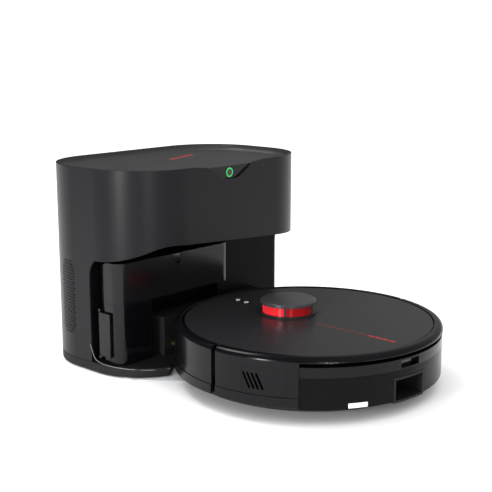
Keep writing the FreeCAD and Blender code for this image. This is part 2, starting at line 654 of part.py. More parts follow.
def build_dock_inside(panel_board):
    plan = box("block_box", ("block_left", "block_right"), ("block_front", "alcove_y - fit_gap"),
               ("base_top + fit_gap", "block_height"))
    cup_clear = box("block_step", ("-dock_width", "cup_right + 1"), ("alcove_y - 8", "0"),
                    ("cup_rim_z - 1", "dock_height"))
    inside = dock_slab("block_inside", "dock_wall + 4", ("0", "dock_height"))
    mouth = box("block_mouth",
                ("-inlet_width / 2 - seal_width - fit_gap", "inlet_width / 2 + seal_width + fit_gap"),
                ("-dock_depth", "alcove_y"),
                ("inlet_z - seal_width - fit_gap", "inlet_z + inlet_height + seal_width + fit_gap"))
    tools = [berth_tool("block_berth", ("0", "dock_height")), mouth, cup_clear]
    contacts = []
    for side in ("-", ""):
        x = f"{side}contact_x"
        face = "-park_distance + sqrt((robot_radius + berth_gap)^2 - contact_x^2)"
        tools.append(rod(f"contact_hole{side}", "contact_radius + fit_gap", ("-dock_depth", "alcove_y"),
                         (x, "contact_z"), "y"))
        contacts.append(rod(f"contact{side}", "contact_radius",
                            (f"{face} - contact_proud", "alcove_y - fit_gap"),
                            (x, "contact_z"), "y"))
    ir_low = "inlet_z + inlet_height + seal_width + 3"
    ir_room = box("ir_room", ("-22 - fit_gap", "22 + fit_gap"), ("-dock_depth", "alcove_y - 16"),
                  (f"{ir_low} - fit_gap", "block_height - 3"))
    tools.append(ir_room)
    keep("dock", cut("block", common("block_blank", plan, inside), *tools), "docking_block")
    keep("dock", group("contacts", *contacts), "charging_contacts")
    ir = common("ir", box("ir_box", ("-22", "22"), ("-dock_depth", "alcove_y - 16 - fit_gap"),
                          (ir_low, "block_height - 3 - fit_gap")),
                cut("ir_ring", rod("ir_out", "robot_radius + berth_gap + 5", ("0", "dock_height"),
                                   ("0", "-park_distance")),
                    berth_tool("ir_berth", ("0", "dock_height"))))
    keep("dock", ir, "beacon_window")

    face = "-park_distance + robot_radius + berth_gap"
    seal = cut("seal", box("seal_out", ("-inlet_width / 2 - seal_width", "inlet_width / 2 + seal_width"),
                           (f"{face} - 2", "alcove_y - fit_gap"),
                           ("inlet_z - seal_width", "inlet_z + inlet_height + seal_width")),
               box("seal_in", ("-inlet_width / 2", "inlet_width / 2"), ("-dock_depth", "0"),
                   ("inlet_z", "inlet_z + inlet_height")))
    keep("dock", seal, "inlet_seal")

    low = "inlet_z + duct_radius + fit_gap"
    high = "(cup_rim_z + cup_head_z) / 2"
    runs = fuse("duct_solid",
                rod("duct_low", "duct_radius", ("alcove_y + fit_gap", "duct_y"), ("0", low), "y"),
                rod("duct_up", "duct_radius", (low, high), ("0", "duct_y")),
                rod("duct_high", "duct_radius", ("cup_bay_y + fit_gap", "duct_y"), ("0", high), "y"),
                primitive("Sphere", "elbow_low", {"Radius": "duct_radius"}, ("0", "duct_y", low)),
                primitive("Sphere", "elbow_high", {"Radius": "duct_radius"}, ("0", "duct_y", high)))
    bore = fuse("duct_bore",
                rod("bore_low", "duct_radius - 2", ("-dock_depth", "duct_y"), ("0", low), "y"),
                rod("bore_up", "duct_radius - 2", (low, high), ("0", "duct_y")),
                rod("bore_high", "duct_radius - 2", ("-dock_depth", "duct_y"), ("0", high), "y"))
    keep("dock", cut("duct", runs, bore), "suction_duct")

    motor = fuse("motor",
                 rod("motor_can", "motor_radius", ("base_top + fit_gap", "base_top + motor_height"),
                              ("motor_x", "motor_y")),
                 rod("motor_neck", "motor_radius / 2",
                     ("base_top + motor_height - 1", "base_top + motor_height + 26"),
                     ("motor_x", "motor_y")))
    keep("dock", motor, "suction_motor")
    power_board = box("power_board", ("-80", "-24"), ("duct_y + 20", "duct_y + 22"), ("40", "140"))
    keep("dock", group("boards", panel_board, power_board), "dock_circuit_boards")
    keep("dock",
         box("filter_slab", ("-dock_width / 2 + dock_wall + 18", "-dock_width / 2 + dock_wall + 36"),
                     ("filter_y - 32", "filter_y + 26"), ("50", "140")), "exhaust_filter")


# ---------------------------------------------------------------- dust cup

def head_profile(name, inset):
    """The separator head's section from the side, its upper back edge rounded so that it passes the window."""
    back, top = f"cup_back - {inset}", f"cup_head_z - {inset}"
    outline = [("cup_front - 1", "cup_rim_z - 1"), (back, "cup_rim_z - 1"), (back, top),
               ("cup_front - 1", top)]
    body = prism(name, outline, ("cup_left - 1", "cup_right + 1"), "YZ_Plane")
    return rounded(body, f"head_round - {inset}", along_x_at(back, top))


def build_cup():
    leg_right = "cup_leg_right"
    out = rounded_box("leg_out", ("cup_left", leg_right), ("cup_front", "cup_back"),
                      ("cup_floor_z", "cup_rim_z"),
                      "cup_corner")
    inner = rounded_box("leg_in", ("cup_left + cup_wall", f"{leg_right} - cup_wall"),
                        ("cup_front + cup_wall", "cup_back - cup_wall"),
                        ("cup_floor_z + cup_wall", "cup_rim_z + 1"), "cup_corner - cup_wall")
    door_low = "cup_floor_z + 8"
    door_high = f"{door_low} + door_height"
    y_span = ("cup_front + cup_corner", "cup_back - cup_corner / 3")
    doorway = box("doorway", ("cup_left - 1", "cup_left + cup_wall + fit_gap"),
                  (f"{y_span[0]} + 2", "cup_back - cup_corner"), (f"{door_low} + 2", f"{door_high} - 2"))
    hinge_x = "cup_left - play - leaf_thick / 2"
    hinge_y = "cup_back - cup_corner / 2"
    pin = rod("door_pin_rod", "hinge_radius", (f"{door_low} - 4", f"{door_high} + 4"), (hinge_x, hinge_y))
    ears = []
    for number, z in enumerate((f"{door_low} - 4", f"{door_high} + play")):
        ears.append(box(f"ear{number}", (f"{hinge_x} - 1.4", "cup_left + cup_wall + 3"),
                        (f"{hinge_y} - 2", f"{hinge_y} + 2"), (z, f"{z} + 4 - play")))
    keep("dock", fuse("cup", cut("leg", out, inner, doorway), pin, *ears), "dust_cup")
    leaf = fuse("leaf_and_barrel",
                box("leaf", ("cup_left - play - leaf_thick", "cup_left - play"), (y_span[0], hinge_y),
                    (door_low, door_high)),
                rod("barrel", "leaf_thick / 2", (door_low, door_high), (hinge_x, hinge_y)))
    bore = rod("leaf_bore", "hinge_radius + bore_play", ("0", "dock_height"), (hinge_x, hinge_y))
    keep("dock", cut("door", leaf, bore), "cup_end_door")

    low = "cup_rim_z + fit_gap"
    head_out = rounded_box("head_out", ("cup_left", "cup_right - play"), ("cup_front", "cup_back"),
                           (low, "cup_head_z"), "cup_corner")
    head_in = rounded_box("head_in", ("cup_left + cup_wall", "cup_right - play - cup_wall"),
                          ("cup_front + cup_wall", "cup_back - cup_wall"),
                          (f"{low} + cup_wall", "cup_head_z - cup_wall"), "cup_corner - cup_wall")
    head_out = common("head_outside", head_out, head_profile("head_profile_out", "0"))
    head_in = common("head_inside", head_in, head_profile("head_profile_in", "cup_wall"))
    drop = box("head_drop", ("cup_left + cup_corner", f"{leg_right} - cup_corner"),
               ("cup_front + cup_corner / 2", "cup_back - cup_corner / 2"), ("cup_rim_z - 1", f"{low} + 5"))
    mouth = rod("head_mouth", "duct_radius - 2", ("cup_back - 5", "cup_back + 1"),
                ("0", "(cup_rim_z + cup_head_z) / 2"), "y")
    latch_room = box("latch_room", ("latch_x - latch_size / 2", "latch_x + latch_size / 2"),
                     ("cup_front - 1", "cup_front + 9"), ("cup_head_z - latch_drop", "cup_head_z + 1"))
    keep("dock", cut("head", head_out, head_in, drop, mouth, latch_room), "separator_head")
    keep("dock", box("latch", ("latch_x - latch_size / 2 + play", "latch_x + latch_size / 2 - play"),
                     ("cup_front + 0.5", "cup_front + 4"),
                     ("cup_head_z - latch_drop + 2.2 + play", "cup_head_z - 0.5")),
         "cup_latch")
    cones = []
    middle = "(cup_front + cup_back) / 2"
    for number in range(int(size("cone_count"))):
        x = f"cup_left + 34 + {number} * cone_pitch"
        cones.append(primitive("Cone", f"cone{number}", {
            "Radius1": "cone_tip", "Radius2": "cone_radius", "Height": "cone_height"},
            (x, middle, "cup_head_z - cup_wall - cone_height - 8")))
    keep("dock", group("cones", *cones,
                       rod("filter_rod", "15", ("cup_right - 10 - filter_length", "cup_right - 10"),
                                            (middle, "(cup_rim_z + cup_head_z) / 2"), "x")),
         "cyclone_insert")


# ---------------------------------------------------------------- robot body

WALL = "robot_radius - lip_reach"
RIM_TOP = "plate_z + rim_crown"
REAR_START = "180 + seam_angle + seam_gap"
REAR_END = "360 - seam_angle - seam_gap"
FRONT_START = "-seam_angle + seam_gap"
FRONT_END = "180 + seam_angle - seam_gap"


def side_ring(name, inner_top, foot_z, flange_low="plate_z - plate_thick"):
    """The rim, side wall and lower lip as one turned ring: an outer skin with a hollow under the rim."""
    body = revolved(name, [
        (inner_top, flange_low), (inner_top, RIM_TOP), (WALL, RIM_TOP),
        (WALL, "strip_z"), ("robot_radius", "strip_z"), ("robot_radius", foot_z),
        ("robot_radius - body_wall - lip_reach", foot_z),
        ("robot_radius - body_wall - lip_reach", flange_low),
    ])
    rounded(body, "rim_round", circle_at(WALL, RIM_TOP))
    return rounded(body, "rim_round / 5", circle_at(inner_top, RIM_TOP))


def module_plan(name, grow, z_span, wide_only=False, edge=f"{WALL} - 1"):
    """The rear module's plan: a wide sector at the rear and a narrower neck ahead of it, grown by a gap."""
    wide = common(f"{name}_wide", wedge(f"{name}_sector", edge, z_span, f"270 - bin_angle - ({grow}) / 2",
                                        f"270 + bin_angle + ({grow}) / 2"),
                  box(f"{name}_back", ("-robot_radius", "robot_radius"),
                      ("-robot_radius - 5", f"bin_wide_y + {grow}"),
                      z_span))
    if wide_only:
        return wide
    neck = box(f"{name}_neck", (f"-bin_neck - {grow}", f"bin_neck + {grow}"),
               ("bin_wide_y - 20", f"bin_front_y + {grow}"), z_span)
    return fuse(name, wide, neck)


def well_box(name, side, grow, z_span):
    """The space of one wheel well, grown by a gap."""
    low, high = f"well_in - ({grow})", f"well_out + ({grow})"
    x_span = (low, high) if side == "right" else (f"-({high})", f"-({low})")
    return box(name, x_span, (f"well_back - ({grow})", f"well_front + ({grow})"), z_span)


def build_chassis():
    pan = revolved("pan_turn", [
        ("0", "keel_z"), ("keel_radius", "keel_z"),
                                ("robot_radius - body_wall - lip_reach - play", "skirt_z"),
        ("robot_radius - body_wall - lip_reach - play", "skirt_z + floor_thick"),
        ("keel_radius - 1", "keel_z + floor_thick"), ("0", "keel_z + floor_thick"),
    ])
    whole = ("0", "skirt_z + floor_thick + 1")
    nose = cut("nose_trim", wedge("nose_wedge", "robot_radius", whole, "-seam_angle - seam_gap - 1",
                                  "181 + seam_angle + seam_gap"),
               rod("nose_keep", "nose_radius", whole, ("0", "0")))
    tools = [nose, well_box("pan_well_left", "left", "fit_gap", whole),
             well_box("pan_well_right", "right", "fit_gap", whole)]
    tools.append(box("pan_bay", ("-bay_half - fit_gap", "bay_half + fit_gap"),
                     ("brush_y - bay_depth / 2 - fit_gap", "brush_y + bay_depth / 2 + fit_gap"), whole))
    tools.append(rod("pan_caster", "caster_well", whole, ("0", "caster_y")))
    tools.append(rod("pan_sweeper", "sweeper_hub / 2", whole, ("sweeper_x", "sweeper_y")))
    tools.append(module_plan("pan_module", "play",
                             ("keel_z + floor_thick + 0.1", "skirt_z + floor_thick + 1"),
                             edge="robot_radius + 4"))
    keep("robot", cut("pan", pan, *tools), "chassis_pan")

    wells, springs = [], []
    for side in ("left", "right"):
        outer = well_box(f"well_out_{side}", side, "0", ("keel_z + 0.4", "well_top"))
        inner = well_box(f"well_in_{side}", side, "-well_wall", ("0", "well_top - well_wall"))
        sign = "-" if side == "left" else ""
        span = ("well_in - 2",
                "well_in + well_wall + 2") if side == "right" else ("-well_in - well_wall - 2",
                                                                    "-well_in + 2")
        pin_hole = rod(f"well_pin_{side}", "pin_radius + bore_play", span, ("pivot_y", "pivot_z"), "x")
        wells.append(cut(f"well_{side}", outer, inner, pin_hole))

        arm_in, arm_out = "well_in + well_wall + 0.5", "well_in + well_wall + 0.5 + arm_thick"
        x_span = (arm_in, arm_out) if side == "right" else (f"-({arm_out})", f"-({arm_in})")
        case = box(f"arm_case_{side}", x_span, ("-14", "pivot_y + 8"), ("arm_low", "arm_high"))
        notch = box(f"arm_notch_{side}", (f"{x_span[0]} - 1", f"{x_span[1]} + 1"), ("14", "pivot_y + 9"),
                    ("0", "pivot_z - 8"))
        pivot = rod(f"arm_pin_{side}", "pin_radius", ("well_in + 0.2", arm_in) if side == "right"
                    else (f"-({arm_in})", "-well_in - 0.2"), ("pivot_y", "pivot_z"), "x")
        axle = rod(f"arm_axle_{side}", "axle_radius",
                   (arm_out, "wheel_x + wheel_width / 2 - 3") if side == "right"
                   else ("-wheel_x - wheel_width / 2 + 3", f"-({arm_out})"), ("0", "wheel_radius"), "x")
        keep("robot", fuse(f"arm_{side}", cut(f"arm_cut_{side}", case, notch), pivot, axle),
             f"drive_gearbox_{side}")

        x_low, x_high = f"{sign}wheel_x - wheel_width / 2", f"{sign}wheel_x + wheel_width / 2"
        hub = rod(f"hub_disc_{side}", "hub_radius", (x_low, x_high), ("0", "wheel_radius"), "x")
        bore_span = (f"{x_low} - 1", f"{x_high} - 2.5") if side == "right" else (f"{x_low} + 2.5",
                                                                                 f"{x_high} + 1")
        bore = rod(f"hub_bore_{side}", "axle_radius + bore_play", bore_span, ("0", "wheel_radius"), "x")
        keep("robot", cut(f"hub_{side}", hub, bore), f"wheel_hub_{side}")

        ring = cut(f"tyre_ring_{side}",
                   rod(f"tyre_out_{side}", "wheel_radius", (x_low, x_high), ("0", "wheel_radius"), "x"),
                   rod(f"tyre_in_{side}", "hub_radius + 0.02", (f"{x_low} - 1", f"{x_high} + 1"),
                       ("0", "wheel_radius"), "x"))
        keep("robot", ring, f"tyre_{side}")

        spring = rod(f"spring_{side}", "spring_radius", ("arm_high + 0.3", "well_top - well_wall - 0.3"),
                     (f"{sign}(well_in + well_wall + 0.5 + arm_thick / 2)", "0"))
        springs.append(spring)
    keep("robot", group("springs", *springs), "suspension_springs")
    return wells


def build_shell():
    ring = side_ring("rear_ring", "plate_radius + rim_gap", "skirt_z")
    rear = wedge("rear_sector", "robot_radius + 5", ("0", "lidar_top"), REAR_START, REAR_END)
    high = "plate_z - plate_thick"
    deck_disc = rod("deck_disc", "plate_radius + rim_gap + 1", (f"{high} - deck_thick", high), ("0", "0"))
    join = common("deck_join", cut("join_ring", rod("join_out", f"{WALL} - 1",
                                                    (f"{high} - deck_thick", high), ("0", "0")),
                                   rod("join_in", "plate_radius", ("0", "lidar_top"), ("0", "0"))),
                  wedge("join_sector", "robot_radius", ("0", "lidar_top"), REAR_START, REAR_END))
    blank = fuse("shell_blank", common("rear_wall", ring, rear), deck_disc, join)
    gap_span = ("bin_top_z", "bin_top_z + module_gap")
    module_gap = common("module_gap",
                        cut("gap_ring", rod("gap_out", "robot_radius + 4", gap_span, ("0", "0")),
                                          rod("gap_in", f"{WALL} - gap_depth", ("0", "lidar_top"),
                                              ("0", "0"))),
                        wedge("gap_sector", "robot_radius + 5", gap_span, "270 - bin_angle",
                              "270 + bin_angle"))
    tools = [
        module_plan("shell_module", "play", ("0", "bin_top_z + play"), edge="robot_radius + 4"),
        module_gap,
        rod("lidar_hole", "window_radius + 1.2", ("0", "lidar_top"), ("0", "lidar_y")),
        vent_blank("vent_room", "robot_radius + 2", "fit_gap"),
    ]
    for number, y in enumerate(("power_y", "home_y")):
        tools.append(rod(f"deck_button{number}", "button_radius + 1", ("0", "lidar_top"), ("button_x", y)))
    keep("robot", cut("body", blank, *tools), "body_shell")

    holes = [rod("plate_lidar", "window_radius + 1.2", ("0", "lidar_top"), ("0", "lidar_y"))]
    for number, y in enumerate(("power_y", "home_y")):
        holes.append(rod(f"plate_button{number}", "button_radius + play", ("0", "lidar_top"),
                         ("button_x", y)))
    disc = rod("plate_disc", "plate_radius", (f"{high} + 0.05", "plate_z"), ("0", "0"))
    ring = cut("foot_ring",
               rod("foot_ring_out", "lidar_radius + 1", ("plate_z - 1", "plate_z + turret_ring"),
                                ("0", "lidar_y")),
               rod("foot_ring_in", "window_radius + play", ("0", "lidar_top"), ("0", "lidar_y")))
    keep("robot", fuse("plate_and_ring", cut("plate", disc, *holes), ring), "top_plate")
    for name, y in (("power_button", "power_y"), ("home_button", "home_y")):
        foot = f"{high} - deck_thick + press_travel"
        keep("robot", rod(name + "_disc", "button_radius", (foot, "plate_z + 0.4"), ("button_x", y)), name)
    button_board = rod("button_pad", "button_radius + 8", ("plate_z - plate_thick - deck_thick - 3",
                                                         "plate_z - plate_thick - deck_thick - 0.3"),
                      ("button_x", "(power_y + home_y) / 2"))

    grille = vent_blank("vent_plate", f"{WALL} - 0.25", "0")
    slots = []
    count = int(size("vent_slots"))
    for number in range(count):
        slot = box(f"slot{number}", ("-robot_radius", "-robot_radius / 2"),
                   ("-slot_width / 2", "slot_width / 2"), ("-slot_height / 2", "slot_height / 2"))
        shift = (number - (count - 1) / 2) * size("slot_pitch")
        lean = Placement(Vector(0, 0, 0), Rotation(Vector(1, 0, 0), -size("slot_lean")))
        stand = Placement(Vector(0, shift, (size("vent_low") + size("vent_high")) / 2), Rotation())
        around = Placement(Vector(), Rotation(Vector(0, 0, 1), 90 - size("slot_angle")))
        slots.append(turned(slot, around, stand, lean))
    keep("robot", cut("vent", grille, *slots), "side_vent_grille")
    return button_board


def vent_blank(name, face, grow):
    """The side vent's curved plate out to a given radius, centred on its angle round the robot's left side."""
    z_span = (f"vent_low - {grow}", f"vent_high + {grow}")
    plate = cut(f"{name}_skin", rod(f"{name}_out", face, z_span, ("0", "0")),
                rod(f"{name}_in", f"{WALL} - body_wall - 1 - {grow}", ("0", "lidar_top"), ("0", "0")))
    return common(name, plate, wedge(f"{name}_arc", "robot_radius + 5", z_span,
                                     f"270 - vent_angle - vent_half - {grow} / 3",
                                     f"270 - vent_angle + vent_half + {grow} / 3"))


def build_bumper():
    ring = side_ring("bumper_ring", "plate_radius + bumper_travel + 2 * play", "skirt_z",
                     "plate_z - plate_thick + play")
    front = wedge("front_sector", "robot_radius + 5", ("0", "lidar_top"), FRONT_START, FRONT_END)
    low, high = "strip_z + 6", "shoulder_z - 12"
    recess = common("sensor_recess",
                    cut("sensor_skin", rod("sensor_out", "robot_radius + 1", (low, high), ("0", "0")),
                                         rod("sensor_in", f"{WALL} - 1.2", ("0", "lidar_top"), ("0", "0"))),
                    wedge("sensor_arc", "robot_radius + 2", (low, high), "90 - sensor_half",
                          "90 + sensor_half"))
    keep("robot", cut("bumper_body", common("bumper_blank", ring, front), recess), "bumper")
    lens = common("bumper_lens", cut("lens_skin", rod("lens_out", f"{WALL} - 0.1",
                                                      (f"{low} + fit_gap", f"{high} - fit_gap"),
                                                     ("0", "0")),
                                     rod("lens_in", f"{WALL} - 1.2 + 0.02", ("0", "lidar_top"),
                                         ("0", "0"))),
                  wedge("lens_arc", "robot_radius + 2", (low, high), "90 - sensor_half + 0.1",
                        "90 + sensor_half - 0.1"))
    keep("robot", lens, "bumper_sensor_window")


def build_module():
    z_tank = ("bin_floor_z", "bin_split_z - play")
    tunnel_half = "inlet_width / 2 + port_frame"
    tunnel_low, tunnel_high = "inlet_z - port_frame", "inlet_z + inlet_height + port_frame"
    wide = module_plan("tank_plan", "0", z_tank, wide_only=True)
    hollow = common("tank_hollow",
                    wedge("hollow_sector", f"{WALL} - 1 - bin_wall", ("bin_floor_z + bin_wall",
                    "bin_split_z - play - bin_wall"), "271.2 - bin_angle", "268.8 + bin_angle"),
                    box("hollow_back", ("-robot_radius", "robot_radius"),
                        ("-robot_radius", "bin_wide_y - bin_wall"),
                        ("0", "lidar_top")))
    ribs = box("tank_tunnel", (f"-({tunnel_half}) - bin_wall", f"{tunnel_half} + bin_wall"),
               ("-robot_radius", "0"),
               ("0", "lidar_top"))
    chamber = cut("tank_chamber", hollow, ribs)
    opening = box("tank_opening", (f"-({tunnel_half}) - fit_gap", f"{tunnel_half} + fit_gap"),
                  ("-robot_radius - 5", "0"),
                  (f"{tunnel_low} - fit_gap", f"{tunnel_high} + fit_gap"))
    keep("robot", cut("tank", wide, chamber, opening), "water_tank")

    frame_box = box("frame_box", (f"-({tunnel_half})", tunnel_half),
                    ("-robot_radius", "bin_wide_y - fit_gap"),
                    (tunnel_low, tunnel_high))
    frame_round = common("frame_round", frame_box,
                         rod("frame_trim", f"{WALL} - 0.4", ("0", "lidar_top"), ("0", "0")))
    bore = box("frame_bore", ("-inlet_width / 2", "inlet_width / 2"), ("-robot_radius - 5", "0"),
               ("inlet_z", "inlet_z + inlet_height"))
    keep("robot", cut("port", frame_round, bore), "dust_port")

    z_box = ("bin_split_z", "bin_top_z")
    slab = module_plan("dust_slab", "0", z_box)
    neck = box("dust_neck", ("-bin_neck", "bin_neck"), ("bin_wide_y + fit_gap", "bin_front_y"),
               ("bin_floor_z", "bin_top_z"))
    room = box("dust_room", ("-bin_neck + bin_wall", "bin_neck - bin_wall"),
               ("bin_wide_y + fit_gap + bin_wall",
               "bin_front_y - bin_wall"), ("bin_floor_z + bin_wall", "bin_top_z - bin_wall"))
    throat = box("dust_throat", ("-inlet_width / 2", "inlet_width / 2"),
                 ("bin_wide_y - 1", "bin_wide_y + bin_wall + 1"),
                 ("inlet_z", "inlet_z + inlet_height"))
    intake = box("dust_intake", ("-bin_neck / 2", "bin_neck / 2"),
                 ("bin_front_y - bin_wall - 1", "bin_front_y + 1"),
                 ("bin_floor_z + 8", "bin_floor_z + 28"))
    grip = box("grip_room", ("-grip_width / 2", "grip_width / 2"),
               ("-robot_radius", f"-({WALL}) + 1 + grip_depth"),
               ("bin_top_z - bin_wall - grip_height", "bin_top_z - bin_wall"))
    keep("robot", cut("dust", fuse("dust_blank", slab, neck), room, throat, intake, grip), "dust_box")
    keep("robot", box("bin_latch_bar", ("-grip_width / 2 + play", "grip_width / 2 - play"),
                      (f"-({WALL}) + latch_set", f"-({WALL}) + latch_set + latch_thick"),
                      ("bin_top_z - bin_wall - grip_height + play", "bin_top_z - bin_wall - play")),
         "bin_latch")
    keep("robot", box("bin_filter_slab", ("-bin_neck + bin_wall + 4", "-bin_neck / 2 - 6"),
                      ("bin_wide_y + bin_wall + 2", "bin_front_y - bin_wall - 2"),
                      ("bin_floor_z + bin_wall", "bin_top_z - bin_wall - 2")), "bin_filter")
    outlet_span = ("bin_floor_z + 1", "bin_floor_z + 1 + outlet_height")
    outlet = common("outlet",
                    cut("outlet_skin", rod("outlet_out", f"{WALL} + 0.3", outlet_span, ("0", "0")),
                                  rod("outlet_in", f"{WALL} - 1 + 0.02", ("0", "lidar_top"), ("0", "0"))),
                    wedge("outlet_arc", "robot_radius", outlet_span, "270 - outlet_angle - outlet_half",
                          "270 - outlet_angle + outlet_half"))
    keep("robot", outlet, "tank_outlet")


def build_lidar():
    middle = ("0", "lidar_y")
    def window(name, start, end):
        low, high = "plate_z + 0.4", "lidar_top - cap_thick - 0.02"
        skin = cut(f"{name}_skin", rod(f"{name}_out", "window_radius", (low, high), ("0", "0")),
                   rod(f"{name}_in", "window_radius - window_thick", ("0", "lidar_top"), ("0", "0")))
        return common(name, skin, wedge(f"{name}_arc", "lidar_radius", (low, high), start, end))

    stops = [("post_front", "post_half"), ("post_left", "post_half"), ("post_right", "post_wide_half")]
    pieces = []
    for number, (post, half) in enumerate(stops):
        following, following_half = stops[(number + 1) % len(stops)]
        lap = "360" if number + 1 == len(stops) else "0"
        pieces.append(window(f"window{number}", f"{post} + {half} + post_gap",
                             f"{following} + {lap} - {following_half} - post_gap"))
    windows = group("windows", *pieces)
    bind(windows, "Placement.Base.y", "lidar_y")
    keep("robot", windows, "lidar_windows")

    cap = revolved("cap_turn", [
        ("0", "lidar_top - cap_thick"), ("lidar_radius", "lidar_top - cap_thick"),
                                ("lidar_radius", "lidar_top"),
        ("0", "lidar_top"),
    ])
    rounded(cap, "cap_round", circle_at("lidar_radius", "lidar_top"))
    posts = []
    post_span = ("plate_z + 0.4", "lidar_top - 1")
    for number, (post, half) in enumerate(stops):
        band = cut(f"post_band{number}", rod(f"post_out{number}", "window_radius", post_span, ("0", "0")),
                   rod(f"post_in{number}", "window_radius - window_thick - 1", ("0", "lidar_top"),
                       ("0", "0")))
        posts.append(common(f"post{number}", band, wedge(f"post_arc{number}", "lidar_radius", post_span,
                                                         f"{post} - {half}", f"{post} + {half}")))
    crown = fuse("cap", cap, *posts)
    bind(crown, "Placement.Base.y", "lidar_y")
    keep("robot", crown, "lidar_cap")

    rotor = fuse("rotor", rod("rotor_drum", "rotor_radius", ("rotor_low", "rotor_high"), middle),
                 rod("rotor_stem", "6", ("rotor_low - 8", "rotor_low"), middle))
    holes = []
    for number, side in enumerate(("-", "")):
        x = f"{side}lens_spread"
        z = "(plate_z + rotor_high) / 2"
        holes.append(rod(f"eye_hole{number}", "lens_radius",
                         ("lidar_y - rotor_radius - 1", "lidar_y - rotor_radius + 8"),
                         (x, z), "y"))
    keep("robot", cut("rotor_body", rotor, *holes), "lidar_rotor")
    socket = cut("socket",
                 rod("socket_out", "window_radius + 1", ("rotor_low - 12", "rotor_low - 3"), middle),
                 rod("socket_in", "6 + bore_play", ("rotor_low - 8.5", "rotor_low"), middle))
    return socket


def build_running_gear(wells):
    whole = ("0", "lidar_top")
    bay = cut("bay_cover", box("bay_out", ("-bay_half", "bay_half"),
                               ("brush_y - bay_depth / 2", "brush_y + bay_depth / 2"),
                               ("keel_z + 0.4", "bay_top")),
              box("bay_in", ("-bay_half + 2", "bay_half - 2"),
                  ("brush_y - bay_depth / 2 + 2", "brush_y + bay_depth / 2 - 2"),
                  ("0", "bay_top - 2")),
              rod("bay_bore", "4 + bore_play", ("-bay_half - 1", "bay_half + 1"), ("brush_y", "brush_z"),
                  "x"))
    core = fuse("core",
                rod("core_rod", "brush_core", ("-brush_half", "brush_half"), ("brush_y", "brush_z"), "x"),
                rod("core_axle", "4", ("-bay_half + 0.2", "bay_half - 0.2"), ("brush_y", "brush_z"), "x"))
    keep("robot", core, "brush_core")
    blades = []
    for number in range(int(size("blade_count"))):
        blade = box(f"blade{number}", ("-brush_half + 3", "brush_half - 3"),
                    ("-blade_thick / 2", "blade_thick / 2"),
                    ("brush_core - 0.6", "brush_radius"))
        turn = Rotation(Vector(1, 0, 0), number * 360 / size("blade_count"))
        blades.append(turned(blade, Placement(Vector(), turn)))
    sleeve = rod("sleeve_out", "brush_core + 1.5", ("-brush_half + 3", "brush_half - 3"), ("0", "0"), "x")
    rubber = cut("rubber", fuse("blade_set", sleeve, *blades),
                 rod("sleeve_in", "brush_core + 0.02", ("-brush_half", "brush_half"), ("0", "0"), "x"))
    bind(rubber, "Placement.Base.y", "brush_y")
    bind(rubber, "Placement.Base.z", "brush_z")
    keep("robot", rubber, "brush_blades")
    guard = cut("guard", box("guard_out", ("-bay_half - 4", "bay_half + 4"), ("brush_y - bay_depth / 2 - 4",
                "brush_y + bay_depth / 2 + 4"), ("keel_z - guard_thick", "keel_z - 0.02")),
                box("guard_in", ("-brush_half - 1", "brush_half + 1"),
                    ("brush_y - guard_slot", "brush_y + guard_slot"), whole))
    keep("robot", guard, "brush_guard")

    plate = fuse("sweeper_core",
                 rod("sweeper_disc", "sweeper_hub", ("sweeper_low", "keel_z - 1"), ("0", "0")),
                 rod("sweeper_stem", "3", ("keel_z - 2", "keel_z + 14"), ("0", "0")))
    arms = []
    for number in range(int(size("sweeper_arms"))):
        arm = box(f"sweeper_arm{number}", ("0", "sweeper_reach"), ("-2.5", "2.5"),
                  ("sweeper_low", "sweeper_low + 3"))
        turn = Rotation(Vector(0, 0, 1), 30 + number * 360 / size("sweeper_arms"))
        arms.append(turned(arm, Placement(Vector(), turn)))
    sweeper = fuse("sweeper", plate, *arms)
    bind(sweeper, "Placement.Base.x", "sweeper_x")
    bind(sweeper, "Placement.Base.y", "sweeper_y")
    keep("robot", sweeper, "side_brush")
    motor = cut("sweeper_drive",
                rod("sweeper_drive_out", "15", ("keel_z + floor_thick + 0.1", "keel_z + 30"),
                                     ("sweeper_x", "sweeper_y")),
                rod("sweeper_drive_in", "3 + bore_play", ("0", "keel_z + 15"), ("sweeper_x", "sweeper_y")))

    axle_z = "caster_floor + caster_radius"
    top = f"{axle_z} + caster_radius + 1.5"
    cheeks = []
    for number, side in enumerate(("-", "")):
        near, far = f"{side}(caster_width / 2 + 0.5)", f"{side}(caster_width / 2 + 3)"
        span = (far, near) if side else (near, far)
        cheeks.append(box(f"cheek{number}", span, ("caster_y - caster_trail - 5", "caster_y + 5"),
                          (f"{axle_z} - 5", f"{top} + 1")))
    pin = rod("caster_pin", "1.5", ("-caster_width / 2 - 2", "caster_width / 2 + 2"),
              ("caster_y - caster_trail", axle_z), "x")
    fork = fuse("fork", rod("fork_plate", "fork_radius", (top, f"{top} + 3"), ("0", "caster_y")),
                rod("fork_stem", "stem_radius", (f"{top} + 2", f"{top} + 14"), ("0", "caster_y")), pin,
                *cheeks)
    keep("robot", fork, "caster_fork")
    wheel = cut("caster", rod("caster_disc", "caster_radius", ("-caster_width / 2", "caster_width / 2"),
                              ("caster_y - caster_trail", axle_z), "x"),
                rod("caster_bore", "1.5 + bore_play", ("-caster_width", "caster_width"),
                    ("caster_y - caster_trail", axle_z), "x"))
    keep("robot", wheel, "caster_wheel")
    cup = cut("caster_cup", rod("cup_out", "caster_well + 2", ("keel_z + floor_thick + 0.1", f"{top} + 16"),
                                ("0", "caster_y")),
              rod("cup_in", "caster_well", ("0", f"{top} + 3.6"), ("0", "caster_y")),
              rod("cup_bore", "stem_radius + bore_play", ("0", f"{top} + 14.3"), ("0", "caster_y")))
    keep("robot", group("wells", *wells, bay, cup), "underside_wells")
    return motor


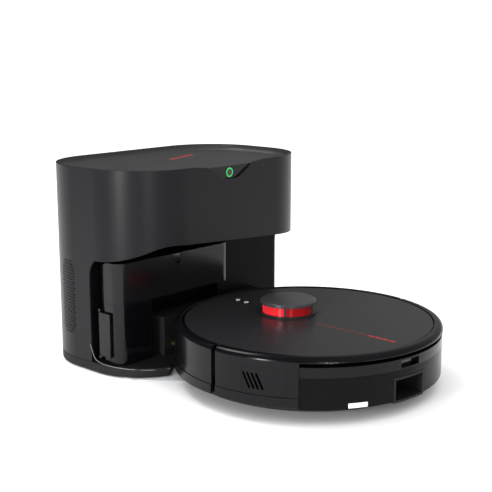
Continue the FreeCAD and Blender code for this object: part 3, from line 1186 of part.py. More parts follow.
def build_robot_inside(button_board, lidar_motor, brush_motor):
    keep("robot", box("battery_case", ("-battery_half", "battery_half"), ("battery_back", "battery_front"),
                      ("keel_z + floor_thick + 0.1", "battery_top")), "battery_pack")
    main_board = box("main_board", ("-78", "78"), ("-14", "96"), ("board_low", "board_low + 2"))
    keep("robot", group("robot_boards", main_board, button_board), "robot_circuit_boards")
    fan = fuse("fan", rod("fan_case", "fan_radius", ("skirt_z + 2", "56"), ("fan_x", "fan_y")),
               box("fan_duct", ("fan_x - 22", "fan_x"), ("fan_y - 18", "fan_y - 10"),
                   ("skirt_z + 4", "50")))
    keep("robot", group("motors", fan, lidar_motor, brush_motor), "robot_motors")
    eyes = []
    for number, angle in enumerate((35, 75, 105, 145)):
        x, y = f"(keel_radius - 10) * cos({angle})", f"(keel_radius - 10) * sin({angle})"
        eyes.append(rod(f"cliff{number}", "5", ("keel_z - 0.8", "keel_z - 0.02"), (x, y)))
    keep("robot", group("cliff", *eyes), "cliff_sensors")


# ---------------------------------------------------------------- the set, checked and written

def row_places():
    """Where the dock's and the robot's own centres go, so that the set's box stands on the row's origin."""
    turn = math.radians(size("dock_turn"))
    straight_x = size("dock_width / 2 - dock_corner")
    straight_y = size("dock_depth / 2 - dock_corner")
    corner = size("dock_corner")
    reach_x = straight_x * math.cos(turn) + straight_y * math.sin(turn) + corner
    reach_y = straight_x * math.sin(turn) + straight_y * math.cos(turn) + corner
    robot_x = size("park_distance") * math.sin(turn)
    robot_y = -size("park_distance") * math.cos(turn)
    radius = size("robot_radius")
    middle_x = (max(reach_x, robot_x + radius) + min(-reach_x, robot_x - radius)) / 2
    middle_y = (reach_y + min(-reach_y, robot_y - radius)) / 2
    spin = Rotation(Vector(0, 0, 1), size("dock_turn"))
    return {
        "dock": Placement(Vector(-middle_x, -middle_y, 0), spin),
        "robot": Placement(Vector(robot_x - middle_x, robot_y - middle_y, 0), Rotation()),
    }


def place_all():
    """Carry every sub-part from its own home frame into the row frame."""
    for home, place in row_places().items():
        for _, thing, belongs in NODES:
            if belongs == home:
                for axis in "xyz":
                    thing.setExpression(f"Placement.Base.{axis}", None)
                thing.Placement = place * thing.Placement


def check_and_write():
    """Stop on any failed object or bad shape, then write one STEP file for each sub-part."""
    for thing in doc.Objects:
        if any(state in ("Invalid", "Error") for state in thing.State):
            raise RuntimeError(f"{thing.Name} failed: {thing.State}")
    os.makedirs("parts", exist_ok=True)
    for name, thing, _ in NODES:
        shape = thing.Shape
        if shape.isNull() or not shape.isValid() or not shape.Solids:
            raise RuntimeError(f"{name} has no valid solid")
        shape.exportStep(f"parts/{name}.step")
    print(len(NODES), "sub-parts written")


build_housing()
build_dock_inside(build_dock_top())
build_cup()
well_shapes = build_chassis()
button_board_shape = build_shell()
build_bumper()
build_module()
lidar_motor_shape = build_lidar()
brush_motor_shape = build_running_gear(well_shapes)
build_robot_inside(button_board_shape, lidar_motor_shape, brush_motor_shape)
doc.recompute()
place_all()
doc.recompute()
check_and_write()
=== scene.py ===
import json
import math

import bmesh
import bpy
import numpy as np
from bpy.props import FloatProperty, FloatVectorProperty, IntProperty, PointerProperty
from mathutils import Matrix, Vector


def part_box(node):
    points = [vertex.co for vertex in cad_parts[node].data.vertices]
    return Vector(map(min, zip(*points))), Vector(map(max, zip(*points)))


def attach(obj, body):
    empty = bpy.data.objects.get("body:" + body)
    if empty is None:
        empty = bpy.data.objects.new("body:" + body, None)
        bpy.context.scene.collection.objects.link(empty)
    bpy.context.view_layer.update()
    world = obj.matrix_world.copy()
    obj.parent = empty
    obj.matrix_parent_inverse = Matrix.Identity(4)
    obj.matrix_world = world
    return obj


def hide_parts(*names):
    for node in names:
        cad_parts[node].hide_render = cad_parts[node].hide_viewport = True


bl_info = {
    "name": "Robot Vacuum and Dock",
    "version": (1, 0, 0),
    "blender": (4, 5, 0),
    "location": "View3D > Sidebar > Robot Vacuum",
    "description": "Finished surfaces, small parts, finishes, floor and light for a robot vacuum in its dock",
    "category": "Object",
}

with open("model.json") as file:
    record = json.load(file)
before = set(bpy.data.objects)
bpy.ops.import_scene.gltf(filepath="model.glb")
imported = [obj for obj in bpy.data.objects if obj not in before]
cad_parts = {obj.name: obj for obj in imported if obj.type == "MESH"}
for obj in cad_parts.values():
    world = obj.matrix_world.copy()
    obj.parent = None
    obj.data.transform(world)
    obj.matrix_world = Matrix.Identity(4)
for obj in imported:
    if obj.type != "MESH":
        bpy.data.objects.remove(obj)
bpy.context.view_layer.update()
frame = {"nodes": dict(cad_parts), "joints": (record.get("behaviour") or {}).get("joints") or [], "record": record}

MM = 0.001
JOINTS = {joint["name"]: joint for joint in frame["joints"]}
SLOTS = {part["node"]: part["material_slot"] for part in frame["record"]["subparts"]}
BODY_OF = {node: body for body, nodes in frame["record"]["behaviour"]["bodies"].items() for node in nodes}


# ---------------------------------------------------------------- places in the frame

def middle(node):
    low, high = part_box(node)
    return (low + high) / 2


def flat(point):
    return Vector((point.x, point.y, 0))


DOCK_RIGHT = -Vector(JOINTS["cup_pull"]["axis"])
DOCK_BACK = Vector((-DOCK_RIGHT.y, DOCK_RIGHT.x, 0))
UP = Vector((0, 0, 1))
DOCK_TURN = Matrix((DOCK_RIGHT, DOCK_BACK, UP)).transposed().to_4x4()
DOCK_PLACE = Matrix.Translation(flat(middle("dock_shell"))) @ DOCK_TURN
ROBOT_PLACE = Matrix.Translation(flat(middle("top_plate")))
TURRET = flat(Vector(JOINTS["rotor_spin"]["pos_m"]))


# ---------------------------------------------------------------- sizes and colours a user may change

class VacuumDockSizes(bpy.types.PropertyGroup):
    corner: FloatProperty(name="Dock corner", description="Plan radius of the dock's corners",
                          default=0.088, unit="LENGTH")
    width: FloatProperty(name="Dock width", description="Dock, left to right", default=0.352, unit="LENGTH")
    depth: FloatProperty(name="Dock depth", description="Dock, front to back", default=0.220, unit="LENGTH")
    hole_width: FloatProperty(name="Vent hole width", description="Across one diamond hole of the end vents",
                              default=0.0026, unit="LENGTH")
    hole_height: FloatProperty(name="Vent hole height", description="Height of one diamond hole",
                               default=0.0046, unit="LENGTH")


class VacuumRobotSizes(bpy.types.PropertyGroup):
    dashes: IntProperty(name="Plate dashes", description="Dashes along the robot's plate", default=22, min=1)
    bristles: IntProperty(name="Bristles", description="Bristles on each side brush arm", default=60, min=1)


class VacuumColours(bpy.types.PropertyGroup):
    housing: FloatVectorProperty(name="Housing", description="Satin housing plastic", subtype="COLOR",
                                 default=(0.0055, 0.0055, 0.0068))
    plate: FloatVectorProperty(name="Plate", description="Robot's top plate", subtype="COLOR",
                               default=(0.016, 0.016, 0.0175))
    accent: FloatVectorProperty(name="Accent", description="Red print", subtype="COLOR",
                                default=(0.42, 0.015, 0.012))
    status: FloatVectorProperty(name="Status light", description="Lit ring on the dock", subtype="COLOR",
                                default=(0.05, 0.85, 0.16))
    # painted glow: the red lidar windows shine by emission, though no lamp lights them
    painted_glow: FloatVectorProperty(name="Lidar glow", description="Painted glow on the red windows", subtype="COLOR",
                              default=(0.92, 0.036, 0.05))


# ---------------------------------------------------------------- shader maths

class Wire:
    """A socket that takes part in sums: each operator adds one Math node to its tree."""

    def __init__(self, tree, socket):
        self.tree = tree
        self.socket = socket

    def node(self, kind, settings=None, inputs=None, output=0):
        """Add a node: its settings first, then the values or wires of its sockets."""
        made = self.tree.nodes.new(kind)
        for name, value in (settings or {}).items():
            if name == "stops":
                while len(made.color_ramp.elements) < len(value):
                    made.color_ramp.elements.new(0.5)
                for element, (position, colour) in zip(made.color_ramp.elements, value):
                    element.position = position
                    element.color = colour
            else:
                setattr(made, name, value)
        for name, value in (inputs or {}).items():
            socket = made.inputs[name]
            if isinstance(value, Wire):
                self.tree.links.new(value.socket, socket)
            else:
                socket.default_value = value
        return Wire(self.tree, made.outputs[output])

    def math(self, operation, first, second=0.0):
        return self.node("ShaderNodeMath", {"operation": operation}, {0: first, 1: second})

    def __add__(self, other):
        return self.math("ADD", self, other)

    def __radd__(self, other):
        return self.math("ADD", other, self)

    def __sub__(self, other):
        return self.math("SUBTRACT", self, other)

    def __rsub__(self, other):
        return self.math("SUBTRACT", other, self)

    def __mul__(self, other):
        return self.math("MULTIPLY", self, other)

    def __rmul__(self, other):
        return self.math("MULTIPLY", other, self)

    def above(self, level):
        return self.math("GREATER_THAN", self, level)


def shades(wire, dark, light, factor):
    """A colour between two, by a factor."""
    return wire.node("ShaderNodeMix", {"data_type": "RGBA"},
                     {"Factor": factor, "A": (*dark, 1), "B": (*light, 1)}, output=2)


def new_finish(name):
    """An empty Principled material, its shader node and a wire of its Object coordinates."""
    material = bpy.data.materials.new(name)
    material.use_nodes = True
    tree = material.node_tree
    shader = tree.nodes["Principled BSDF"]
    place = tree.nodes.new("ShaderNodeTexCoord")
    return material, shader, Wire(tree, place.outputs["Object"])


def feed(shader, name, wire):
    wire.tree.links.new(wire.socket, shader.inputs[name])


def noise(place, scale, detail=3.0, rough=0.5):
    return place.node("ShaderNodeTexNoise", None,
                      {"Vector": place, "Scale": scale, "Detail": detail, "Roughness": rough})


def grain_bump(place, shader, height, strength, distance):
    bump = place.node("ShaderNodeBump", None, {"Height": height, "Strength": strength, "Distance": distance})
    feed(shader, "Normal", bump)


def moulded(name, colour, rough, grain=0.06, coat=0.0, spread=0.25, scale=900.0, metal=0.0, specular=0.32):
    """Moulded plastic or cast metal: fine spark-eroded grain, faint handling marks, a slow drift of tone."""
    material, shader, place = new_finish(name)
    fine = noise(place, scale, 2.0)
    slow = noise(place, 9.0, 4.0, 0.6)
    dark = [c * (1 - spread * 0.5) for c in colour]
    light = [c * (1 + spread) for c in colour]
    feed(shader, "Base Color", shades(place, dark, light, slow))
    feed(shader, "Roughness", rough * 0.86 + slow * (rough * 0.2) + fine * (rough * 0.08))
    grain_bump(place, shader, fine, grain, 0.0002)
    shader.inputs["Metallic"].default_value = metal
    shader.inputs["Specular IOR Level"].default_value = specular
    shader.inputs["Coat Weight"].default_value = coat
    shader.inputs["Coat Roughness"].default_value = 0.06
    return material


def see_through(name, colour, alpha, rough, specular=0.3):
    """Tinted clear plastic: thin haze over an even tint."""
    material, shader, place = new_finish(name)
    haze = noise(place, 14.0, 4.0, 0.6)
    feed(shader, "Base Color", shades(place, [c * 0.8 for c in colour], [c * 1.25 for c in colour], haze))
    feed(shader, "Roughness", rough + haze * 0.05)
    feed(shader, "Alpha", alpha - 0.03 + haze * 0.06)
    shader.inputs["IOR"].default_value = 1.49
    shader.inputs["Specular IOR Level"].default_value = specular
    return material


def glowing(name, colour, strength, base):
    """A lit lens with a faint mottle behind the plastic."""
    material, shader, place = new_finish(name)
    mottle = noise(place, 60.0, 2.0)
    feed(shader, "Base Color", shades(place, [c * 0.7 for c in base], base, mottle))
    feed(shader, "Emission Color", shades(place, [c * 0.75 for c in colour], colour, mottle))
    shader.inputs["Emission Strength"].default_value = strength
    shader.inputs["Roughness"].default_value = 0.15
    return material


def circuit_board(name):
    """Green lacquer with lighter copper tracks on a square grid and scattered solder pads."""
    material, shader, place = new_finish(name)
    tracks = place.node("ShaderNodeTexBrick", {"offset": 0.5}, {
        "Vector": place, "Scale": 160.0, "Mortar Size": 0.06,
        "Color1": (0, 0, 0, 1), "Color2": (0.2, 0.2, 0.2, 1), "Mortar": (1, 1, 1, 1)}, output=1)
    spots = place.node("ShaderNodeTexVoronoi", None, {"Vector": place, "Scale": 260.0})
    pads = 1 - spots.above(0.18)
    green = shades(place, (0.01, 0.09, 0.035), (0.03, 0.22, 0.08), tracks)
    both = place.node("ShaderNodeMix", {"data_type": "RGBA"},
                      {"Factor": pads, "A": green, "B": (0.7, 0.62, 0.42, 1)}, output=2)
    feed(shader, "Base Color", both)
    feed(shader, "Metallic", pads)
    feed(shader, "Roughness", 0.45 - pads * 0.2)
    return material


LENS_RADIUS = 0.034
PAINTED_GLOW_FROM = 0.765             # share of the radius, towards the robot's left, from which the painted glow is bright


def painted_lens_glow(colour):
    """Red window with a painted glow: emission that stands in for light on the lens, brightest on the robot's left
    and dim on its right, mottled behind the lens.
    """
    material, shader, place = new_finish("red_lens_painted_glow")
    apart = place.node("ShaderNodeSeparateXYZ", None, {"Vector": place})
    left = (TURRET.x - apart) * (1 / LENS_RADIUS)
    # painted light: the window's glow steps up on the robot's left and fades towards its right
    painted_light = left.above(PAINTED_GLOW_FROM) * 0.8 + left * 0.14 + 0.04
    mottle = noise(place, 90.0, 2.0)
    feed(shader, "Base Color", shades(place, (0.12, 0.001, 0.002), (0.34, 0.004, 0.006), mottle))
    feed(shader, "Emission Color",
         shades(place, (0.05, 0.0006, 0.001), colour, painted_light * (0.7 + mottle * 0.5)))
    shader.inputs["Emission Strength"].default_value = 0.72
    shader.inputs["Roughness"].default_value = 0.12
    return material


FINISHES = {}


def build_finishes(colours):
    """Every finish of the set, by the name of its material slot or of its own piece."""
    housing, plate = colours.housing[:], colours.plate[:]
    FINISHES.update({
        "housing": moulded("satin_housing", housing, 0.34, 0.10, scale=1400.0, specular=0.16),
        "plate": moulded("satin_plate", plate, 0.34, 0.08, scale=1600.0, spread=0.15, specular=0.22),
        "shell": moulded("polished_shell", (0.0032, 0.0032, 0.004), 0.2, 0.01, coat=0.08, specular=0.13),
        "panel": moulded("panel_gloss", (0.006, 0.006, 0.007), 0.2, 0.005, specular=0.2),
        # painted shade: the alcove's back wall gets a darker colour than the housing, standing in for the shade
        # inside the recess
        "alcove": moulded("alcove_painted_shade", (0.002, 0.002, 0.0025), 0.5, 0.1, specular=0.06),
        "cap": moulded("cap_satin", (0.034, 0.034, 0.036), 0.3, 0.06, scale=1600.0),
        "gloss_black": moulded("gloss_black", (0.005, 0.005, 0.006), 0.12, 0.005, coat=0.4),
        "soft_black": moulded("grained_black", (0.009, 0.009, 0.010), 0.6, 0.22, specular=0.2),
        "tray": moulded("tray_grain", (0.032, 0.032, 0.034), 0.46, 0.18, scale=1800.0),
        "smoked": see_through("smoked_plastic", (0.006, 0.006, 0.007), 0.86, 0.14),
        "cup_smoke": see_through("cup_smoke", (0.003, 0.003, 0.004), 0.93, 0.09),
        "tank_smoke": see_through("tank_smoke", (0.003, 0.003, 0.0036), 0.96, 0.2, 0.08),
        "clear": see_through("clear_mat", (0.72, 0.74, 0.76), 0.32, 0.12),
        # painted glow on the lidar windows, brighter on the robot's left
        "red_clear": painted_lens_glow(colours.painted_glow[:]),
        "green_light": glowing("green_lens", colours.status[:], 0.55, (0.02, 0.3, 0.06)),
        "rubber": moulded("soft_rubber", (0.02, 0.02, 0.02), 0.75, 0.35, scale=700.0, specular=0.3),
        "tyre_rubber": moulded("tyre_rubber", (0.022, 0.022, 0.022), 0.82, 0.45, scale=500.0, specular=0.3),
        "brush_rubber": moulded("brush_rubber", (0.30, 0.018, 0.016), 0.55, 0.25),
        "contact_metal": moulded("plated_contact", (0.78, 0.64, 0.36), 0.24, 0.05, metal=1.0),
        "screw_steel": moulded("zinc_screw", (0.55, 0.55, 0.56), 0.32, 0.12, metal=1.0),
        "board": circuit_board("board_green"),
        "filter_paper": moulded("filter_paper", (0.78, 0.77, 0.72), 0.9, 0.6,
                                scale=380.0, specular=0.2),
        "white_plastic": moulded("white_plastic", (0.78, 0.79, 0.78), 0.35, 0.05),
        "grey_plastic": moulded("grey_plastic", (0.10, 0.10, 0.11), 0.48, 0.2),
        "motor_metal": moulded("cast_can", (0.5, 0.5, 0.52), 0.38, 0.3, metal=1.0, scale=300.0),
        "spring_steel": moulded("spring_wire", (0.48, 0.48, 0.5), 0.28, 0.1, metal=1.0),
        "accent": moulded("red_print", colours.accent[:], 0.4, 0.05),
        "accent_dim": moulded("red_print_dim", [c * 0.45 for c in colours.accent], 0.4, 0.05),
        # painted highlight: a pale grey for the thin tube that stands for the light along the base's front lip
        "lip_highlight": moulded("painted_lip_highlight", (0.16, 0.16, 0.165), 0.25, 0.02),
        "icon": moulded("white_print", (0.62, 0.63, 0.64), 0.4, 0.05),
        "bristle": moulded("bristle", (0.05, 0.05, 0.055), 0.4, 0.05),
    })


# ---------------------------------------------------------------- mesh building

SHARP_ANGLE = math.radians(32)       # steeper edges stay sharp, and are the ones that get eased
FLAT_ANGLE = math.radians(0.2)       # faces that meet at less than this are one flat face
MERGE_DISTANCE = 1e-6


def ring_faces(rings, sides, start):
    """Quads between neighbouring rings of points counted ring by ring, each ring closed on itself."""
    ring, side = np.meshgrid(np.arange(rings - 1), np.arange(sides), indexing="ij")
    beside, near, far = (side + 1) % sides, ring * sides, (ring + 1) * sides
    return np.stack([near + side, near + beside, far + beside, far + side], -1).reshape(-1, 4) + start


def fill_mesh(mesh, points, faces, place):
    """Put whole arrays of points and quads into a mesh, carried to their place."""
    flat_points = np.c_[points.reshape(-1, 3), np.ones(points.size // 3)] @ np.array(place).T
    mesh.from_pydata(flat_points[:, :3].tolist(), [], faces.tolist())
    work = bmesh.new()
    work.from_mesh(mesh)
    bmesh.ops.remove_doubles(work, verts=work.verts, dist=MERGE_DISTANCE)
    bmesh.ops.recalc_face_normals(work, faces=work.faces)
    work.to_mesh(mesh)
    work.free()


def link_new(name, mesh):
    """A new object that shows a mesh, in the scene."""
    made = bpy.data.objects.new(name, mesh)
    bpy.context.scene.collection.objects.link(made)
    return made


def smooth_faces(piece):
    """Smooth shading, kept sharp over steep edges."""
    piece.data.shade_smooth()
    piece.data.set_sharp_from_angle(angle=SHARP_ANGLE)


def piece_of(name, grids, place, body, finish):
    """A new piece from one or more grids of rings, in its place and riding on its body."""
    faces, count = [], 0
    for grid in grids:
        rings, sides = grid.shape[:2]
        faces.append(ring_faces(rings, sides, count))
        count += rings * sides
    points = np.concatenate([grid.reshape(-1, 3) for grid in grids])
    mesh = bpy.data.meshes.new(name)
    fill_mesh(mesh, points, np.concatenate(faces), place)
    piece = link_new(name, mesh)
    mesh.materials.append(FINISHES[finish])
    smooth_faces(piece)
    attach(piece, body)
    return piece


def capped(grid):
    """Close a tube's two ends: its first and last rings are repeated, drawn in to their middles."""
    first = np.repeat(grid[:1].mean(1, keepdims=True), grid.shape[1], 1)
    last = np.repeat(grid[-1:].mean(1, keepdims=True), grid.shape[1], 1)
    return np.concatenate([first, grid, last])


def tube(path, radius, sides):
    """Rings of radius r round each path point, in the plane across the path's direction there."""
    along = np.gradient(path, axis=0)
    along /= np.linalg.norm(along, axis=1, keepdims=True)
    guide = np.where(np.abs(along[:, 2:]) > 0.9, np.array([1.0, 0, 0]), np.array([0, 0, 1.0]))
    side = np.cross(along, guide)
    side /= np.linalg.norm(side, axis=1, keepdims=True)
    top = np.cross(side, along)
    turn = np.linspace(0, 2 * np.pi, sides, endpoint=False)
    radius = np.broadcast_to(np.asarray(radius, float), len(path))[:, None, None]
    round_path = side[:, None] * np.cos(turn)[:, None] + top[:, None] * np.sin(turn)[:, None]
    return capped(path[:, None] + radius * round_path)


def finished_copy(node, finish, width, cutter=None):
    """A node's own shape with its triangles joined up, its edges eased by a small bevel and smooth shading."""
    mesh = frame["nodes"][node].data.copy()
    mesh.name = f"{node}_finished"
    if "custom_normal" in mesh.attributes:
        mesh.attributes.remove(mesh.attributes["custom_normal"])
    work = bmesh.new()
    work.from_mesh(mesh)
    bmesh.ops.remove_doubles(work, verts=work.verts, dist=MERGE_DISTANCE)
    if width:
        bmesh.ops.dissolve_limit(work, angle_limit=FLAT_ANGLE, verts=work.verts, edges=work.edges)
    work.to_mesh(mesh)
    work.free()
    piece = link_new(f"{node}_finished", mesh)
    mesh.materials.clear()
    mesh.materials.append(FINISHES[finish])
    if cutter is not None:
        holes = piece.modifiers.new("holes", "BOOLEAN")
        holes.operation = "DIFFERENCE"
        holes.solver = "EXACT"
        holes.object = cutter
        bake_modifiers(piece)
    if width:
        edges = piece.modifiers.new("eased_edges", "BEVEL")
        edges.width = width
        edges.segments = 2
        edges.limit_method = "ANGLE"
        edges.angle_limit = SHARP_ANGLE
        edges.use_clamp_overlap = True
        bake_modifiers(piece)
    smooth_faces(piece)
    if width:
        even = piece.modifiers.new("even_shading", "WEIGHTED_NORMAL")
        even.keep_sharp = True
        bake_modifiers(piece)
    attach(piece, BODY_OF[node])
    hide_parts(node)
    return piece


def bake_modifiers(piece):
    """Take the mesh that the modifiers give as the piece's own, and drop them."""
    bpy.context.view_layer.update()
    shaped = piece.evaluated_get(bpy.context.evaluated_depsgraph_get())
    mesh = bpy.data.meshes.new_from_object(shaped)
    mesh.name = piece.data.name
    piece.modifiers.clear()
    piece.data = mesh


PAD_ROUND, PAD_SHARE = 0.00005, 0.92      # drop of a printed mark's upper rim, and its top's share of the outline


def pads(centres, lengths, width, turn, low, high, sides=16):
    """Raised marks, one grid each: a superellipse outline |x/a|^4 + |y/b|^4 = 1, turned in its plane, as a rim at
    the foot, a rim at the top and its middle; the first and last rings close to a point."""
    angle = np.linspace(0, 2 * np.pi, sides, endpoint=False)
    c, s = np.cos(angle), np.sin(angle)
    round_x, round_y = np.sign(c) * np.sqrt(np.abs(c)), np.sign(s) * np.sqrt(np.abs(s))
    grids = []
    for (x, y), length in zip(centres, lengths):
        across, along = round_x * length / 2, round_y * width / 2
        plan = np.stack([x + across * np.cos(turn) - along * np.sin(turn),
                         y + across * np.sin(turn) + along * np.cos(turn)], -1)
        levels = ((0, low), (1, low), (1, high - PAD_ROUND), (PAD_SHARE, high), (0, high))
        grids.append(np.stack([np.c_[(x, y) + (plan - (x, y)) * share, np.full(sides, z)] for share, z in levels]))
    return grids


def dashes(start, end, count, gap, width, low, high):
    """A broken line of pads from one plan point to another; each third dash is short."""
    start, end = np.array(start, float), np.array(end, float)
    run = end - start
    share = (np.arange(count) + 0.5) / count
    lengths = np.linalg.norm(run) / count * np.where(np.arange(count) % 3 == 2, 0.45, 1 - gap)
    return pads(start + share[:, None] * run, lengths, width, math.atan2(run[1], run[0]), low, high)


# ---------------------------------------------------------------- the dock

class VACUUM_OT_carried_over(bpy.types.Operator):
    """Give every fixed piece the finish of its slot; the pieces drawn anew replace some of them later"""
    bl_idname = "vacuum.carried_over"
    bl_label = "Plain pieces"

    def execute(self, context):
        build_finishes(context.scene.vacuum_colours)
        for name, node in frame["nodes"].items():
            node.data.materials.clear()
            node.data.materials.append(FINISHES[SLOTS[name]])
        return {"FINISHED"}


DOCK_EDGES = {
    "dock_base": ("soft_black", 0.0012), "top_cover": ("tray", 0.0007),
    "control_panel": ("panel", 0.0004), "docking_block": ("soft_black", 0.0012),
    "alcove_wall": ("alcove", 0.0), "dust_cup": ("cup_smoke", 0.0008),
    "separator_head": ("smoked", 0.0008), "dock_back_cover": ("housing", 0.0006),
    "floor_mat": ("clear", 0.0003), "status_light_ring": ("green_light", 0.0),
    "status_button": ("gloss_black", 0.0002), "inlet_seal": ("rubber", 0.0006),
    "beacon_window": ("gloss_black", 0.0003), "mains_inlet": ("soft_black", 0.0005),
    "suction_duct": ("soft_black", 0.0), "suction_motor": ("motor_metal", 0.001), "dock_feet": ("rubber", 0.0003),
    "cup_latch": ("gloss_black", 0.0005), "cup_end_door": ("cup_smoke", 0.0005),
    "charging_contacts": ("contact_metal", 0.0006), "back_cover_screws": ("screw_steel", 0.0004),
}


VENT_ROWS, VENT_COLS = 12, 4                      # to each side of the middle hole
VENT_PITCH = (4.2, 4.1)                           # millimetres, along the wall and upwards
VENT_MIDDLE, VENT_HALF = (0.036, 0.097), (0.0165, 0.052)
TOOL_OUTSIDE, TOOL_INSIDE = 0.002, 0.006          # how far a hole's tool reaches out of and into the wall


def vent_holes(sizes):
    """One diamond prism for each hole of both end vents: staggered rows inside a tall oval, each a diamond of four
    corners carried along x through the end wall."""
    rows, cols = np.meshgrid(np.arange(-VENT_ROWS, VENT_ROWS + 1), np.arange(-VENT_COLS, VENT_COLS + 1),
                             indexing="ij")
    y = (cols + (rows % 2) * 0.5) * VENT_PITCH[0] * MM + VENT_MIDDLE[0]
    z = rows * VENT_PITCH[1] * MM + VENT_MIDDLE[1]
    inside = ((y - VENT_MIDDLE[0]) / VENT_HALF[0]) ** 4 + ((z - VENT_MIDDLE[1]) / VENT_HALF[1]) ** 4 < 1
    y, z = y[inside], z[inside]
    turn = np.radians([0, 90, 180, 270])
    ring_y = y[:, None] + np.cos(turn) * sizes.hole_width / 2
    ring_z = z[:, None] + np.sin(turn) * sizes.hole_height / 2
    reach = sizes.width / 2
    pairs = []
    for side in (-1, 1):
        ends = [np.stack([np.full_like(ring_y, side * x), ring_y, ring_z], -1)
                for x in (reach + TOOL_OUTSIDE, reach - TOOL_INSIDE)]
        pairs.append(np.stack(ends, 1))
    prisms = np.concatenate(pairs).reshape(-1, 3)
    first = np.arange(len(prisms) // 8)[:, None] * 8
    quads = np.array([[0, 1, 2, 3], [7, 6, 5, 4], [0, 4, 5, 1], [1, 5, 6, 2], [2, 6, 7, 3], [3, 7, 4, 0]])
    mesh = bpy.data.meshes.new("vent_hole_tool")
    fill_mesh(mesh, prisms, (first[:, None] + quads).reshape(-1, 4), DOCK_PLACE)
    return link_new("vent_hole_tool", mesh)


WALL_SLACK, WALL_FACING = 0.0002, 0.97            # how near a corner lies to the wall, and how squarely it faces out


def even_walls(shell, sizes):
    """Shade the outer walls by their true outline, a rectangle rounded at its corners: each outward direction is the
    step from the nearest point of the inner rectangle, |x| <= width/2 - corner and |y| <= depth/2 - corner."""
    mesh = shell.data
    points = np.empty(len(mesh.vertices) * 3)
    mesh.vertices.foreach_get("co", points)
    here = np.c_[points.reshape(-1, 3), np.ones(len(mesh.vertices))] @ np.array(DOCK_PLACE.inverted()).T
    limit = np.array([sizes.width / 2 - sizes.corner, sizes.depth / 2 - sizes.corner])
    away = here[:, :2] - np.clip(here[:, :2], -limit, limit)
    reach = np.linalg.norm(away, axis=1)
    outward = np.c_[away / np.maximum(reach, MERGE_DISTANCE)[:, None], np.zeros(len(away))]
    outward = outward @ np.array(DOCK_PLACE)[:3, :3].T

    corners = np.empty(len(mesh.loops) * 3, dtype=np.float32)
    mesh.corner_normals.foreach_get("vector", corners)
    corners = corners.reshape(-1, 3)
    vertex = np.empty(len(mesh.loops), dtype=np.int32)
    mesh.loops.foreach_get("vertex_index", vertex)
    counts = np.empty(len(mesh.polygons), dtype=np.int32)
    mesh.polygons.foreach_get("loop_total", counts)
    facing = np.empty(len(mesh.polygons) * 3)
    mesh.polygons.foreach_get("normal", facing)
    facing = np.repeat(facing.reshape(-1, 3), counts, axis=0)
    squarely = (facing * outward[vertex]).sum(1) > WALL_FACING
    on_wall = (np.abs(reach[vertex] - sizes.corner) < WALL_SLACK) & squarely
    corners[on_wall] = outward[vertex[on_wall]]
    mesh.normals_split_custom_set(corners.tolist())


class VACUUM_OT_dock_housing(bpy.types.Operator):
    """The dock's housing with its end vents pierced and its edges eased"""
    bl_idname = "vacuum.dock_housing"
    bl_label = "Dock housing"

    def execute(self, context):
        sizes = context.scene.vacuum_dock
        tool = vent_holes(sizes)
        shell = finished_copy("dock_shell", "housing", 0.0009, cutter=tool)
        bpy.data.objects.remove(tool)
        even_walls(shell, sizes)
        return {"FINISHED"}


HIGHLIGHT_RADIUS = 0.0005
LIP_LINE = np.array([(-176, -9, 38), (-176, -14, 26), (-176, -18, 19), (-175, -31, 15), (-171, -52, 14),
                     (-162, -70, 13), (-145, -90, 12.2), (-120, -104, 11.6)]) * MM


def even_path(points, count):
    """A path resampled at even steps of its length, its corners softened by two passes of a three-point mean."""
    length = np.r_[0, np.cumsum(np.linalg.norm(np.diff(points, axis=0), axis=1))]
    steps = np.linspace(0, length[-1], count)
    path = np.stack([np.interp(steps, length, points[:, axis]) for axis in range(3)], -1)
    for _ in range(2):
        path[1:-1] = (path[:-2] + path[1:-1] + path[2:]) / 3
    return path


class VACUUM_OT_dock_lip_highlight(bpy.types.Operator):
    """A thin pale tube along the front lip of the dock's base: a painted highlight on the lip's edge"""
    bl_idname = "vacuum.dock_trim"
    bl_label = "Dock lip highlight"

    def execute(self, context):
        # painted highlight: a pale tube where the lip's edge catches the light
        lip_highlight = tube(even_path(LIP_LINE, 60), HIGHLIGHT_RADIUS, 8)
        piece_of("base_lip_painted_highlight", [lip_highlight], DOCK_PLACE, "dock", "lip_highlight")
        return {"FINISHED"}


class VACUUM_OT_dock_pieces(bpy.types.Operator):
    """The dock's base, tray, alcove, dust cup and small pieces with their edges eased"""
    bl_idname = "vacuum.dock_pieces"
    bl_label = "Dock pieces"

    def execute(self, context):
        for node, (finish, width) in DOCK_EDGES.items():
            finished_copy(node, finish, width)
        return {"FINISHED"}


# ---------------------------------------------------------------- the robot

